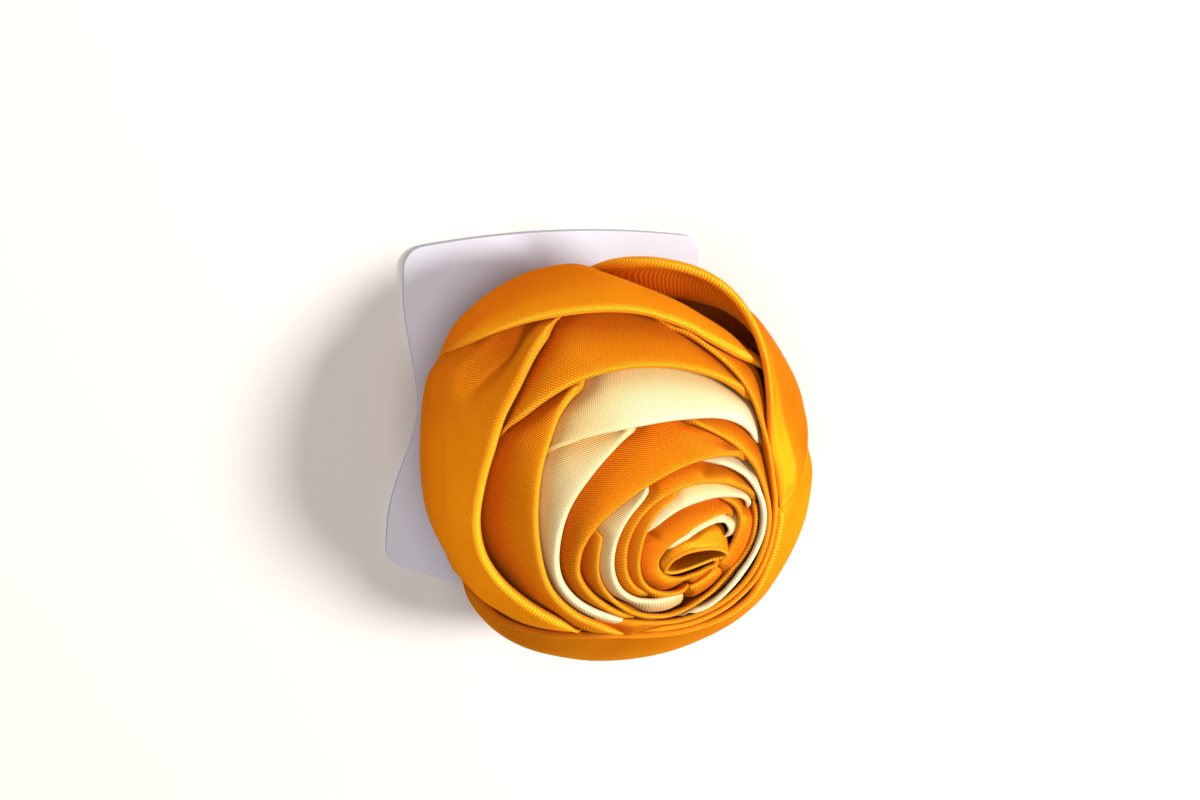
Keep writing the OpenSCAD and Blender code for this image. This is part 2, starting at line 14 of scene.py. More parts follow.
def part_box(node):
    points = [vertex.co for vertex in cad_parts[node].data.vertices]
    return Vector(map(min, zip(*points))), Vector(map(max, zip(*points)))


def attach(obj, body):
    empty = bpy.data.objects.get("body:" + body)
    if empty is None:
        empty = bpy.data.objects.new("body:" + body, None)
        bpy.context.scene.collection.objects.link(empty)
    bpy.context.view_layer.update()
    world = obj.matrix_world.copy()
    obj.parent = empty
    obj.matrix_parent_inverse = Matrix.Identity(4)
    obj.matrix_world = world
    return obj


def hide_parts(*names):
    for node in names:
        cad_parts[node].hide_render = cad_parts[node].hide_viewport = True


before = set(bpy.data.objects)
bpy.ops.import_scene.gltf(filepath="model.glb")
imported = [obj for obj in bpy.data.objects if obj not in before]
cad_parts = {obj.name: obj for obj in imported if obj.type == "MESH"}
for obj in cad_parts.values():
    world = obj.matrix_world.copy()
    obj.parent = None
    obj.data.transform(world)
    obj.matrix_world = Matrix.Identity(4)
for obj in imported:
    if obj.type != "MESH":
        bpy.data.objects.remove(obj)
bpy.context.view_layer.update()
MM = 0.001


def in_mm(*places):
    return [round(c / MM, 1) for place in places for c in place]


# %% [markdown]
# ## Camera
# The brooch was seen from above, about 30 degrees off the upright line, so the bud leans towards the
# lower right of the picture. A camera could be turned by hand with three angles. Here one rotation
# takes the upright line to the direction of view, which keeps the table square in the picture.

# %% Camera
def new_object(name, data):
    thing = bpy.data.objects.new(name, data)
    bpy.context.scene.collection.objects.link(thing)
    return thing


LEAN = math.radians(30)
UP_IN_PICTURE = Vector((0.64, -0.77)).normalized()
AIM = Vector((5, 11, 20)) * MM
CAMERA_AWAY = 0.4
LENS, FILM_WIDTH = 59, 36
back = Vector((-UP_IN_PICTURE.x * math.sin(LEAN), -UP_IN_PICTURE.y * math.sin(LEAN), math.cos(LEAN)))
camera = new_object("camera", bpy.data.cameras.new("camera"))
turned = Vector((0, 0, 1)).rotation_difference(back).to_matrix().to_4x4()
camera.matrix_world = Matrix.Translation(AIM + back * CAMERA_AWAY) @ turned
camera.data.lens = LENS
camera.data.sensor_width = FILM_WIDTH
camera.data.clip_start = 0.01
bpy.context.scene.camera = camera
print("camera:", round(camera.location.z / MM), "mm above the table")

# %% [markdown]
# ## Table
# The brooch lies on a plain pale table that runs to pure white where the light is full. A bent
# backdrop would do as well, but only its flat part would be seen from above.

# %% Table
def plain_mesh(name, corners, faces):
    mesh = bpy.data.meshes.new(name)
    mesh.from_pydata(corners, [], faces)
    return new_object(name, mesh)


def new_finish(name):
    finish = bpy.data.materials.new(name)
    finish.use_nodes = True
    return finish


def fill(node, values):
    """Sets each socket to its number or colour, or links it to another node's result."""
    for name, value in values.items():
        socket = node.inputs[name]
        if isinstance(value, bpy.types.NodeSocket):
            node.id_data.links.new(value, socket)
        else:
            socket.default_value = (*value, 1) if socket.type == "RGBA" else value


def paint(finish, values):
    fill(finish.node_tree.nodes["Principled BSDF"], values)


TABLE_HALF = 2.5
JUST_UNDER = -0.0001
SQUARE = ((-1, -1), (1, -1), (1, 1), (-1, 1))
corners = [(x * TABLE_HALF, y * TABLE_HALF, JUST_UNDER) for x, y in SQUARE]
table = plain_mesh("table", corners, [(0, 1, 2, 3)])
table_finish = new_finish("table_white")
paint(table_finish, {"Base Color": (0.63, 0.597, 0.565), "Roughness": 0.7, "Specular IOR Level": 0.2})
table.data.materials.append(table_finish)
print("table:", 2 * TABLE_HALF, "m square")

# %% [markdown]
# ## Light
# A strong soft lamp stands to the right like a window, so one broad shadow falls to the left. A wider,
# weaker one overhead keeps the petals on the shadow side warm, and a pale surround fills the deepest
# folds. Several small lamps would be easier to place, but would give hard double shadows.

# %% Lamps
WINDOW_POWER, CEILING_POWER, FILL = 35, 23, 0.13


def soft_lamp(name, place, aim, size, power, colour):
    lamp = bpy.data.lights.new(name, "AREA")
    lamp.shape = "DISK"
    lamp.size = size
    lamp.energy = power
    lamp.color = colour
    stand = new_object(name, lamp)
    stand.location = place
    stand.rotation_mode = "QUATERNION"
    stand.rotation_quaternion = (Vector(aim) - Vector(place)).to_track_quat("-Z", "Y")


soft_lamp("window_light", (1.02, 0.14, 1.15), (0.02, 0, 0.02), 0.5, WINDOW_POWER, (1, 0.975, 0.94))
soft_lamp("ceiling_light", (-0.5, 0.35, 1.55), (0, 0, 0.02), 1.5, CEILING_POWER, (1, 0.99, 0.98))
surround = bpy.data.worlds.new("surround")
surround.use_nodes = True
fill(surround.node_tree.nodes["Background"], {"Color": (0.97, 0.98, 1), "Strength": FILL})
bpy.context.scene.world = surround
bpy.context.scene.view_settings.view_transform = "Standard"
print("window", WINDOW_POWER, "W, ceiling", CEILING_POWER, "W, surround", FILL)

# %% [markdown]
# ## Helpers for finishes
# Every finish is worked out by Blender's own nodes, with no picture of cloth, so it stays sharp from
# close by. Nodes can be joined by hand in the shader editor. Written as helpers, the same few serve
# satin, felt, steel and card.

# %% Helpers for finishes
def add_node(finish, kind, values, **settings):
    """A new node in the finish, with its settings made and its sockets filled."""
    node = finish.node_tree.nodes.new("ShaderNode" + kind)
    for setting, value in settings.items():
        setattr(node, setting, value)
    fill(node, values)
    return node


def calculator(finish):
    """A short way to write sums with this finish's own math nodes."""
    def calc(kind, a, b=0, clamp=False):
        return add_node(finish, "Math", {0: a, 1: b}, operation=kind, use_clamp=clamp).outputs[0]

    return calc


def mix_colour(finish, share, low, high, blend="MIX"):
    values = {0: share, 6: low, 7: high}
    return add_node(finish, "Mix", values, data_type="RGBA", blend_type=blend).outputs[2]


def rescaled(finish, value, limits, kind="LINEAR"):
    node = add_node(finish, "MapRange", {"Value": value, **limits}, interpolation_type=kind)
    return node.outputs["Result"]


def clouds(finish, scale, detail=2, stretch=None):
    """A cloudy pattern fixed to the piece, which stretch can draw out."""
    place = add_node(finish, "TexCoord", {}).outputs["Object"]
    if stretch:
        place = add_node(finish, "Mapping", {"Vector": place, "Scale": stretch}).outputs[0]
    noise = add_node(finish, "TexNoise", {"Vector": place, "Scale": scale, "Detail": detail})
    return noise.outputs["Fac"]


def bumps(finish, height, distance, strength=1):
    values = {"Height": height, "Distance": distance, "Strength": strength}
    return add_node(finish, "Bump", values).outputs[0]


print("finish helpers are ready")

# %% [markdown]
# ## The weave of the satin
# Satin ribbon shows fine slanting ribs: round threads side by side, which dip under the cross threads
# at intervals. A photograph of cloth could be used. Here the ribs are two sine waves over the cloth's
# own coordinates, in millimetres, so they have one size on every petal.

# %% The weave
RIB_PITCH, RIB_SLANT = 0.48, 1.0
DIP_PITCH, DIP_SLANT, DIP_PART = 0.37, 0.35, 0.45
WEAVE_TO_SHARE = 0.345
RIB_DEPTH = 0.00007


def weave(finish):
    """Height of the weave, its share of raised thread, and how far down from the rim it is."""
    calc = calculator(finish)
    cloth = add_node(finish, "UVMap", {}, uv_map="cloth").outputs["UV"]
    along, down, _ = add_node(finish, "SeparateXYZ", {0: cloth}).outputs
    slant = calc("ADD", along, calc("MULTIPLY", down, RIB_SLANT))
    across = 2 * math.pi / RIB_PITCH / math.hypot(1, RIB_SLANT)
    rib = calc("SINE", calc("MULTIPLY", slant, across))
    cross = calc("SUBTRACT", along, calc("MULTIPLY", down, DIP_SLANT))
    dips = calc("SINE", calc("MULTIPLY", cross, 2 * math.pi / DIP_PITCH))
    height = calc("ADD", rib, calc("MULTIPLY", dips, DIP_PART))
    share = calc("MULTIPLY", calc("ADD", height, 1 + DIP_PART), WEAVE_TO_SHARE, clamp=True)
    return height, share, down


print("ribs", RIB_PITCH, "mm apart")

# %% [markdown]
# ## Satin
# The ribbon is pale gold where light skims it, deep orange in the folds, and darker where it faces
# away. Light alone gives part of that, and bright cloth also glows with the colour of the next fold;
# the rest is painted. So each mesh stores two values: "shade", how deep in its fold a spot is, for
# painted shade in the folds, and a second value for painted shade where a petal faces away or lies
# under others. Paler threads along the rim are a painted highlight. A little metal and a stretched
# highlight give the silky shine.

# %% Satin
# Shares of uneven patches and of painted shade in the folds, and the fall-off of the painted rim
# highlight.
UNEVEN_PART, FOLD_SHADE_PART = 0.25, 0.75
RIM_BASE, RIM_FALL, RIM_HIGHLIGHT, FACE_THREADS = 2.718, 0.45, 0.5, 0.28


def stored(finish, name):
    return add_node(finish, "Attribute", {}, attribute_name=name).outputs["Fac"]


def satin(name, colour, deep, thread_and_highlight_colour, painted_shade_tint, sheen, sheen_tint, rough, shine, metal):
    finish = new_finish(name)
    calc = calculator(finish)
    height, share, down = weave(finish)
    # Painted shade: deeper colour down in the folds, and wide soft patches of uneven colour.
    patches = rescaled(finish, clouds(finish, scale=55, detail=3), {"From Min": 0.35, "From Max": 0.7})
    fold = rescaled(finish, stored(finish, "shade"), {"From Min": 0.1}, "SMOOTHSTEP")
    painted_shade_and_patches = calc("ADD", calc("MULTIPLY", patches, UNEVEN_PART), calc("MULTIPLY", fold, FOLD_SHADE_PART),
                    clamp=True)
    body = mix_colour(finish, painted_shade_and_patches, colour, deep)
    # Paler threads of the weave, and a painted highlight along the folded rim.
    fall = calc("MULTIPLY", calc("MULTIPLY", down, down), -RIM_FALL)
    rim_highlight = calc("POWER", RIM_BASE, fall)
    thread_and_highlight_part = calc("ADD", calc("MULTIPLY", rim_highlight, RIM_HIGHLIGHT), FACE_THREADS)
    threads_and_highlight = mix_colour(finish, calc("MULTIPLY", share, thread_and_highlight_part), body, thread_and_highlight_colour)
    # Painted shade: the second stored value darkens stretches of petal that face away or lie under
    # others.
    paint(finish, {
        "Base Color": mix_colour(finish, stored(finish, "painted_shade"), threads_and_highlight, painted_shade_tint, "MULTIPLY"),
        "Roughness": rough, "Metallic": metal, "Anisotropic": 0.55, "Specular IOR Level": shine,
        "Specular Tint": thread_and_highlight_colour, "Sheen Weight": sheen, "Sheen Roughness": 0.35, "Sheen Tint": sheen_tint,
        "Tangent": add_node(finish, "Tangent", {}, direction_type="UV_MAP", uv_map="cloth").outputs[0],
        "Normal": bumps(finish, height, RIB_DEPTH, strength=0.5)})
    return finish


satins = {
    "gold": satin("gold_satin", (0.88, 0.235, 0.0012), (0.60, 0.058, 0.0004), (1.0, 0.6, 0.04),
                  (0.62, 0.45, 0.5), sheen=0.22, sheen_tint=(1, 0.52, 0.02), rough=0.35, shine=0,
                  metal=0.36),
    "cream": satin("cream_satin", (0.66, 0.60, 0.35), (0.62, 0.35, 0.07), (1.0, 0.97, 0.72),
                   (0.88, 0.62, 0.3), sheen=0.12, sheen_tint=(1, 0.93, 0.6), rough=0.42, shine=0.1,
                   metal=0.1)}
print("satin finishes:", ", ".join(satins))

# %% [markdown]
# ## Smooth curves
# Every shape below is a short table of given points with a smooth curve through them. Blender
# has such curves as objects, but a function can be asked for its value at any turn, and this one never
# swings past the points it joins, which would make a rim bulge.

# %% Smooth curves through a table
EVEN_PART = 0.25


def curve(rows, column, where):
    """One column of the table as a smooth curve over the first column."""
    x = np.array([row[0] for row in rows], float)
    y = np.array([row[column] for row in rows], float)
    where = np.clip(np.asarray(where, float), x[0], x[-1])
    if len(x) == 1:
        return np.full(where.shape, y[0])
    rise = np.diff(y) / np.diff(x)
    slope = np.append(rise, rise[-1])
    before, after = rise[:-1], rise[1:]
    turns_back = before * after <= 0
    both = np.where(turns_back, 1, before + after)
    slope[1:-1] = np.where(turns_back, 0, before * after / both + EVEN_PART * (before + after))
    i = np.clip(np.searchsorted(x, where, side="right") - 1, 0, len(x) - 2)
    width = x[i + 1] - x[i]
    u = (where - x[i]) / width
    return ((2 * u**3 - 3 * u**2 + 1) * y[i] + (u**3 - 2 * u**2 + u) * slope[i] * width
            + (3 * u**2 - 2 * u**3) * y[i + 1] + (u**3 - u**2) * slope[i + 1] * width)


def steady(value):
    """A table, also for a single value that holds for every turn."""
    return value if isinstance(value, list) else [(0, value)]


def ease(u):
    v = np.clip(u, 0, 1)
    return v * v * (3 - 2 * v)


print("a quarter of the way, eased:", float(ease(0.25)))

# %% [markdown]
# ## Outer shape of the flower
# The rose is a flattened dome with a lumpy outline, and its bud sits off the middle. Outline rows are
# the turn about the bud in degrees and the reach from it in millimetres. Crown, waist, foot and hub
# are heights, and distances start at the hub, below the bud. A sphere could be scaled to fit, but the
# real outline is too uneven, so the dome is worked out at each turn.

# %% Outer shape
BUD = (16.3, -10.9)
CROWN, WAIST, FOOT, HUB = 50, 18, 7.4, 10
FOOT_SHARE, DOME_SHARE = 0.78, 0.14
OUTLINE = [(0, 35.6), (30, 38.4), (45, 40.2), (60, 43), (90, 50), (108, 52.8), (122, 56), (137, 57),
           (150, 53.6), (165, 49), (182, 45.4), (196, 42.4), (208, 42.6), (222, 42.4), (240, 39.4),
           (270, 35.2), (300, 33.4), (330, 33.6), (360, 35.6)]


def reach(turn):
    return curve(OUTLINE, 1, np.mod(turn, 360))


def foot_lift(turn):
    return np.degrees(np.arctan2(FOOT - HUB, FOOT_SHARE * reach(turn)))


def dome(turn, lift):
    """Distance from the hub to the flower's outer shape, seen at a lift in degrees."""
    out, up, rise = reach(turn), CROWN - WAIST, WAIST - HUB
    tilt = np.radians(lift)
    a = (np.cos(tilt) / out) ** 2 + (np.sin(tilt) / up) ** 2
    b = -2 * rise * np.sin(tilt) / up**2
    e = (rise / up) ** 2 - 1
    waist_lift = np.degrees(np.arctan2(rise, out))
    under = np.maximum(0, (waist_lift - lift) / (waist_lift - foot_lift(turn)))
    return (-b + np.sqrt(b * b - 4 * a * e)) / (2 * a) * (1 - DOME_SHARE * under**2)


print("widest reach from the bud:", max(row[1] for row in OUTLINE), "mm")

# %% [markdown]
# ## The petals' tables
# The rose is a stack of folded ribbon petals, listed from the bud outwards. A row is a point of the
# folded rim: turn about the bud, reach and height. Modelling each fold by hand would never keep twenty
# layers apart, so the tables say only what can be seen, and a rule finds the rest. The cloth is gold
# unless cream is named.
#
# - wall is the thickness of the folded ribbon, bead how much rounder its rim is, gape how far the rim
#   stands off the petal inside it, and hug how closely the inner petals lean on it.
# - share is how far out the hidden foot reaches, and its painted shade how far the petal is darkened
#   where it faces away from the light or lies under others.
# - tuck leads the ends down under their neighbours and thin lets them grow thin, both in degrees.
# - slant cuts the first end aslant: depth below the rim, and how many degrees later it starts.
# - crest makes a rim stand out like a brim: turn, depth where the face falls back, and how far.
# - creases are soft swells or hollows: turn, depth, two half widths, lean, and how far they stand out.

# %% Petal tables
PETALS = []


def petal(name, cloth="gold", *, share, painted_shade=0.6, hug=(0.6, 4), **given):
    usual = dict(gape=0, tuck=(7, 7), thin=(6, 9), slant=((0, 0),), crest=((0, 0, 0),), creases=())
    PETALS.append(dict(usual, name=name, cloth=cloth, share=steady(share), painted_shade=steady(painted_shade),
                       hug=(steady(hug[0]), hug[1]), **given))


petal("bud_lining", "cream", wall=0.8, bead=0.1, share=0.17, tuck=(0, 7), painted_shade=0.35, rows=[
    (14, 6.9, 46), (19, 7.9, 46.8), (27, 8.8, 47.1), (38, 8.8, 47.4), (50, 7.9, 47.7), (62, 6.2, 47.8),
    (76, 4.8, 47.9), (92, 3.8, 47.9), (114, 3.2, 47.8), (136, 3.3, 47.6), (155, 3.8, 47.4),
    (172, 4.6, 47)])
petal("bud_back_fold", wall=0.95, bead=0.15, share=0.25, tuck=(4, 0), rows=[
    (35, 10.2, 46.2), (46, 10.3, 47.3), (59, 9.1, 48.1), (71, 7.6, 48.6), (84, 6.5, 48.7),
    (96, 5.7, 48.7), (110, 5, 48.7), (126, 4.8, 48.5), (142, 4.9, 48.3), (159, 5.3, 48.1),
    (178, 6.1, 47.8), (190, 6.8, 47.7), (203, 7.1, 47.5), (219, 7, 47.3), (237, 6.5, 47.2),
    (254, 5.9, 47.2), (280, 5.2, 47.2), (310, 5.4, 47.2), (328, 6.4, 47.2), (342, 7.4, 47.2),
    (346, 7.8, 47.1)])
petal("bud_side_fold", wall=1, bead=0.15, share=0.29, rows=[
    (-32, 7.3, 46.6), (-18, 7.6, 47), (-5, 8.1, 47.1), (12, 9.3, 47.3), (28, 10.9, 47.5),
    (41, 12, 47.7), (54, 12.4, 47.9), (61, 12.3, 47.9), (68, 11.9, 47.4)])
petal("heart_cream_petal", "cream", wall=1, bead=0.2, share=0.33, tuck=(0, 7), thin=(3, 0),
      painted_shade=0.4, rows=[
    (33, 13.8, 46), (40, 14.8, 46.8), (48, 14.5, 47.4), (57, 13.7, 47.9), (70, 12.6, 48.2),
    (89, 11.4, 48.6), (105, 10.9, 48.7), (120, 10.7, 48.8), (135, 10.6, 48.6), (145, 10.7, 48),
    (155, 10.6, 46.6)])
petal("heart_left_fold", wall=1, bead=0.2, share=0.38, rows=[
    (105, 13.7, 47.8), (112, 13.4, 48.4), (120, 13.1, 48.6), (135, 12.6, 48.9), (150, 11.9, 49),
    (168, 11.3, 49), (191, 11.2, 48.8), (205, 11.1, 48.5), (222, 10.6, 48.2), (237, 9.8, 48),
    (251, 9, 47.8), (265, 8.1, 47.6), (278, 7.6, 47.4), (301, 7.3, 47), (314, 7.4, 46.6),
    (325, 7.6, 45.8)])
petal("heart_rear_fold", wall=1, bead=0.2, share=0.43, tuck=(5, 7), rows=[
    (33, 15.8, 46), (40, 16.1, 46.6), (48, 16, 47.1), (60, 15.7, 47.8), (80, 15.4, 48.5),
    (99, 15.1, 48.6), (114, 15, 48.8), (131, 14.9, 48.8), (148, 14.6, 48.7), (163, 14.2, 48.5),
    (179, 13.8, 48.3), (194, 13.5, 48), (207, 13, 47.8), (219, 12.2, 47.5), (228, 11.4, 46.9)])
petal("narrow_cream_petal", "cream", wall=1, bead=0.3, share=0.47, tuck=(7, 4), thin=(0, 20),
      painted_shade=0.45, rows=[
    (125, 17.5, 47.8), (132, 17, 48.4), (140, 16.9, 48.6), (153, 16.8, 48.6), (169, 16.6, 48.5),
    (193, 16.1, 48.1), (207, 15.4, 47.9), (220, 14, 48), (231, 12.4, 48), (245, 10.9, 47.5),
    (256, 10.2, 46.6), (266, 9.9, 45.2), (273, 9.8, 43.8)])
petal("thin_gold_fold", wall=0.9, bead=0.2, share=0.56, tuck=(7, 5), thin=(0, 6), rows=[
    (165, 19.3, 47), (171, 19.2, 47.3), (178, 19.2, 47.4), (190, 19.1, 47.2), (203, 18.4, 46.9),
    (217, 17.3, 46.9), (231, 16.3, 47), (245, 15.1, 47.1), (257, 14.2, 47), (266, 13.3, 47),
    (276, 12.3, 47), (286, 11.5, 47), (300, 10.8, 47), (318, 10.3, 47.1), (330, 10.3, 47.2),
    (343, 11, 47.2), (354, 11.9, 47.1), (367, 13.1, 46.9), (378, 14, 46.7), (390, 15.1, 46.4),
    (397, 15.8, 46)])
petal("cream_ring", "cream", wall=0.9, bead=0.3, gape=0.3, share=0.52, tuck=(12, 6),
      painted_shade=[(-86, 0.4), (-30, 0.2), (40, 0.2)], rows=[
    (-86, 13.7, 46.8), (-72, 13.1, 47.6), (-54, 12.1, 48.2), (-42, 11.6, 48.5), (-30, 11.5, 48.6),
    (-15, 12.2, 48.5), (0, 13.5, 48.2), (15, 15.1, 47.8), (30, 16.5, 47.5), (45, 17.6, 47.3),
    (60, 18.5, 47.3), (74, 18.8, 46.8), (85, 18, 45)])
petal("middle_petal", wall=1.1, bead=0.4, gape=0.8, share=0.61, tuck=(7, 6), thin=(0, 9), rows=[
    (58, 21.2, 45.4), (64, 21.2, 46.2), (72, 20.8, 46.7), (86, 19.9, 47.4), (103, 19, 47.9),
    (117, 18.7, 48.2), (131, 19, 48.2), (145, 19.8, 47.9), (156, 20.9, 47.6), (168, 22, 47),
    (177, 22.6, 46.6), (186, 22.7, 46.2), (194, 22.1, 45.9), (203, 21, 45.8), (213, 19.7, 45.8),
    (222, 18.7, 45.7), (231, 17.9, 45.2), (238, 17.5, 44.4)])
petal("gold_ring", wall=0.9, bead=0.2, share=0.65, tuck=(8, 6), thin=(8, 0), rows=[
    (-130, 19.4, 44.9), (-120, 18, 45.5), (-110, 16.9, 45.9), (-100, 16.1, 46.2), (-84, 15.2, 46.6),
    (-67, 14.6, 47), (-50, 14.5, 47.2), (-35, 14.7, 47.2), (-12, 15.3, 47.1), (4, 16.1, 46.9),
    (19, 17.2, 46.6), (30, 18.1, 46.3), (41, 19.2, 46), (53, 20.7, 45.9), (64, 22.1, 45.8),
    (75, 23.6, 45.7), (82, 24.7, 45.8), (89, 26.1, 45.9), (95, 27.4, 45.2)])
petal("left_cream_petal", "cream", wall=1.1, bead=0.5, gape=0.5, share=0.68, tuck=(6, 8), thin=(0, 20),
      painted_shade=[(116, 0.75), (135, 0.45), (170, 0.3), (240, 0.25)], rows=[
    (116, 28.6, 44.2), (122, 28.5, 45), (130, 28.1, 45.6), (142, 27.6, 45.8), (156, 27.4, 45.5),
    (171, 26.9, 45.2), (189, 26.1, 44.6), (202, 24.4, 44.5), (213, 22.3, 44.8), (222, 20.5, 45.1),
    (231, 19.2, 45), (238, 18.5, 44.4)])
petal("upper_cream_petal", "cream", wall=1.1, bead=0.4, gape=0.4, share=0.74, tuck=(6, 6),
      painted_shade=[(58, 0.1), (106, 0.1), (122, 0.4), (142, 0.9)], rows=[
    (54, 24, 42.4), (63, 26, 43.6), (70, 26.9, 44.1), (78, 27.4, 44.4), (94, 27.7, 45),
    (110, 28.9, 45.1), (121, 30.6, 44.7), (134, 33.7, 43.5), (142, 35.6, 42.3), (147, 36.7, 41.3)])
petal("left_fold_petal", wall=1.2, bead=0.6, gape=0.8,
      share=[(110, 0.8), (220, 0.82), (258, 0.84)], tuck=(6, 8), thin=(0, 16), painted_shade=0.4, rows=[
    (124, 39.8, 39.2), (132, 39.2, 40.5), (140, 37.3, 41.7), (147, 35.7, 42.3), (161, 32.6, 43.1),
    (177, 30, 43.5), (196, 27.9, 43.4), (212, 25.4, 43.7), (223, 23.4, 44.1), (233, 22.2, 44.3),
    (242, 21.5, 44.2)])
petal("upper_gold_petal", wall=1.2, bead=0.5, gape=1.4, share=0.85, tuck=(6, 6), painted_shade=0.45, rows=[
    (62, 29.8, 38.6), (66, 31, 39.4), (71, 32, 40.2), (77, 33.3, 41), (88, 35.3, 41), (101, 37.6, 40.6),
    (112, 39.6, 40.1), (123, 41.4, 39.5), (135, 42.7, 39), (142, 43.2, 38.2), (148, 43.5, 37)])
petal("long_fold", wall=0.9, bead=0.3, share=[(-104, 0.74), (30, 0.76), (60, 0.88), (100, 0.9)],
      tuck=(8, 5), thin=(8, 0), painted_shade=0.45, rows=[
    (-110, 19.4, 44.6), (-100, 18.2, 44.9), (-84, 17.4, 45.3), (-67, 17, 45.6), (-46, 17, 45.7),
    (-30, 17.3, 45.7), (-15, 17.4, 45.6), (0, 17.8, 45.5), (15, 18.7, 45.4), (27, 20, 45),
    (38, 21.6, 44.6), (47, 23.8, 44.2), (54, 26, 43.7), (59, 28, 43), (64, 30.4, 41.8),
    (69, 32.9, 40.6), (76, 35.8, 39.2), (84, 38.8, 37.6), (90, 41.2, 35.4), (95, 43, 33.2)])
petal("big_left_petal", wall=1.4, bead=0.9, gape=1.4, hug=(0.5, 8), share=[(100, 0.93),
      (140, 0.95), (153, 0.99), (198, 0.99), (214, 0.93), (250, 0.9)], tuck=(6, 9), thin=(4, 14),
      painted_shade=[(115, 0.6), (138, 0.5), (150, 0.2), (162, 0)], creases=[(132, 6.5, 6, 3.4, 0.3, -5.5),
      (141, 8, 5, 3.6, 0, -3.2), (148, 15, 7, 5, 0, 1.6), (162, 10.8, 9, 3, -5, -1.2)], rows=[
    (120, 49.8, 31.2), (127, 48.7, 33.5), (136, 46.5, 35.7), (145, 44.8, 36.6), (153, 43.2, 37.2),
    (163, 41.9, 37.2), (173, 40.8, 36.9), (182, 39.2, 37), (191, 36.6, 37.9), (201, 33, 39.6),
    (211, 29.6, 41.3), (218, 27.8, 42), (224, 26.9, 41.5)])
petal("top_roll_petal", wall=1.4, bead=0.7, gape=0.9,
      share=[(60, 0.93), (98, 0.94), (106, 0.96), (118, 0.98), (130, 1)], tuck=(4, 0), thin=(14, 30),
      painted_shade=0, crest=((60, 2, 4), (75, 3.2, 5), (84, 4, 5.5), (91, 5.2, 5.5), (98, 7, 5), (103, 9, 3),
      (108, 12, 0)), rows=[
    (60, 36, 34), (64.3, 36.5, 35), (69, 37.1, 35.4), (74, 37.8, 35.6), (79.5, 38.9, 35.8),
    (84.5, 40.3, 35.8), (88, 41.7, 35.7), (92, 43.1, 35.4), (96, 44.5, 35), (101, 46.3, 34.2),
    (107, 48, 33.1), (113, 49.5, 31.9), (119, 51, 30.6), (125, 52.4, 29), (130, 53.3, 27.4),
    (135, 53.9, 25), (140, 53.8, 21), (145, 52.6, 14)])
petal("front_petal", wall=1.3, bead=0.3, gape=0.4, hug=(0, 14),
      share=[(205, 1), (370, 1), (392, 0.94), (420, 0.93)], tuck=(0, 6), thin=(2, 0),
      painted_shade=[(205, 1), (240, 0.9), (285, 0.75), (325, 0.3), (360, 0)], rows=[
    (205, 40.8, 14), (208, 40.4, 21), (212, 39.4, 28), (215.5, 36.9, 32.3), (219, 33.8, 35.9),
    (222, 31, 38.4), (226, 28, 40.4), (231, 25.4, 42), (240, 22.6, 43), (247, 21.4, 43.6),
    (257, 20.1, 44.1), (268, 19.5, 44.4), (283, 19.2, 44.5), (297, 19.6, 44.5), (308, 20, 44.4),
    (319, 20.2, 44.4), (330, 19.8, 44.3), (342, 19.4, 44.3), (357, 19.5, 44.3), (370, 20.1, 44.2),
    (382, 21, 44), (389, 21.8, 43.6), (398, 23.2, 42.6), (407, 25.2, 41.2)])
petal("right_petal", wall=1.3, bead=0.6, gape=0.6, hug=([(92, 0), (99, 1.2)], 14),
      share=[(16, 1), (60, 0.98), (88, 0.97)], tuck=(0, 0), thin=(14, 8), painted_shade=0,
      slant=((0, 0), (5, 2), (12, 7), (22, 11)), crest=((64, 0, 0), (72, 0.5, 3), (80, 0.8, 6),
      (89, 0.8, 7), (95, 0.8, 5.5), (100, 0.6, 2.5), (104, 0.6, 0)),
      creases=[(33, 13, 4, 6, -0.4, -1.4), (38, 5, 26, 2.6, 0, 0.9)], rows=[
    (16, 20.3, 44.1), (22, 20.9, 44.1), (29, 21.7, 43.9), (34, 22.5, 43.7), (40, 23.4, 43.4),
    (46, 24.4, 43.2), (49.5, 25.6, 42.8), (53, 27.5, 42.2), (56, 29.7, 41.4), (59, 32.4, 40.3),
    (62, 35.4, 38.8), (65, 38.5, 37.3), (68, 41.3, 35.8), (71, 43.8, 34.4), (75.5, 46.9, 32.2),
    (80.4, 49.3, 30.1), (85, 50.6, 28), (90, 51.4, 26), (94.5, 51.7, 23.8), (98.5, 51.3, 21),
    (101, 50.5, 18.2), (103, 49.4, 15.2), (105, 47.7, 11.6), (107, 45.8, 8)])

print(len(PETALS), "petals and folds,", sum(p["cloth"] == "cream" for p in PETALS), "of them cream")

# %% [markdown]
# ## Laying the petals down
# Each petal starts as a free sheet that falls from its rim to the flower's outer shape, and is then
# held under every petal outside it, with a small gap, as real ribbon is. A cloth simulation could find
# such a resting shape, but twenty tight layers are slow and hard to repeat. The outermost petal is
# laid first, because it decides how much room is left inside it. A point is given by its turn about
# the bud, its lift above the level of the hub, both in degrees, and its distance from the hub.

# %% Small helpers for laying
DEGREE = math.pi / 180
BEAD_DEPTH = 2.4


def half_wall(wall, bead, down):
    """Half the thickness of the folded ribbon, which is rounder near its rim."""
    return wall / 2 * (1 + bead * np.exp(-(down / BEAD_DEPTH) ** 2))


def blur(field, spread):
    """Soft average along the first axis, with its ends kept."""
    span = int(3 * spread) + 1
    weight = np.exp(-0.5 * (np.arange(-span, span + 1) / spread) ** 2)
    weight /= weight.sum()
    edges = ((span, span),) + ((0, 0),) * (field.ndim - 1)
    padded = np.pad(field, edges, mode="reflect", reflect_type="odd")
    return sum(w * padded[i:i + len(field)] for i, w in enumerate(weight))


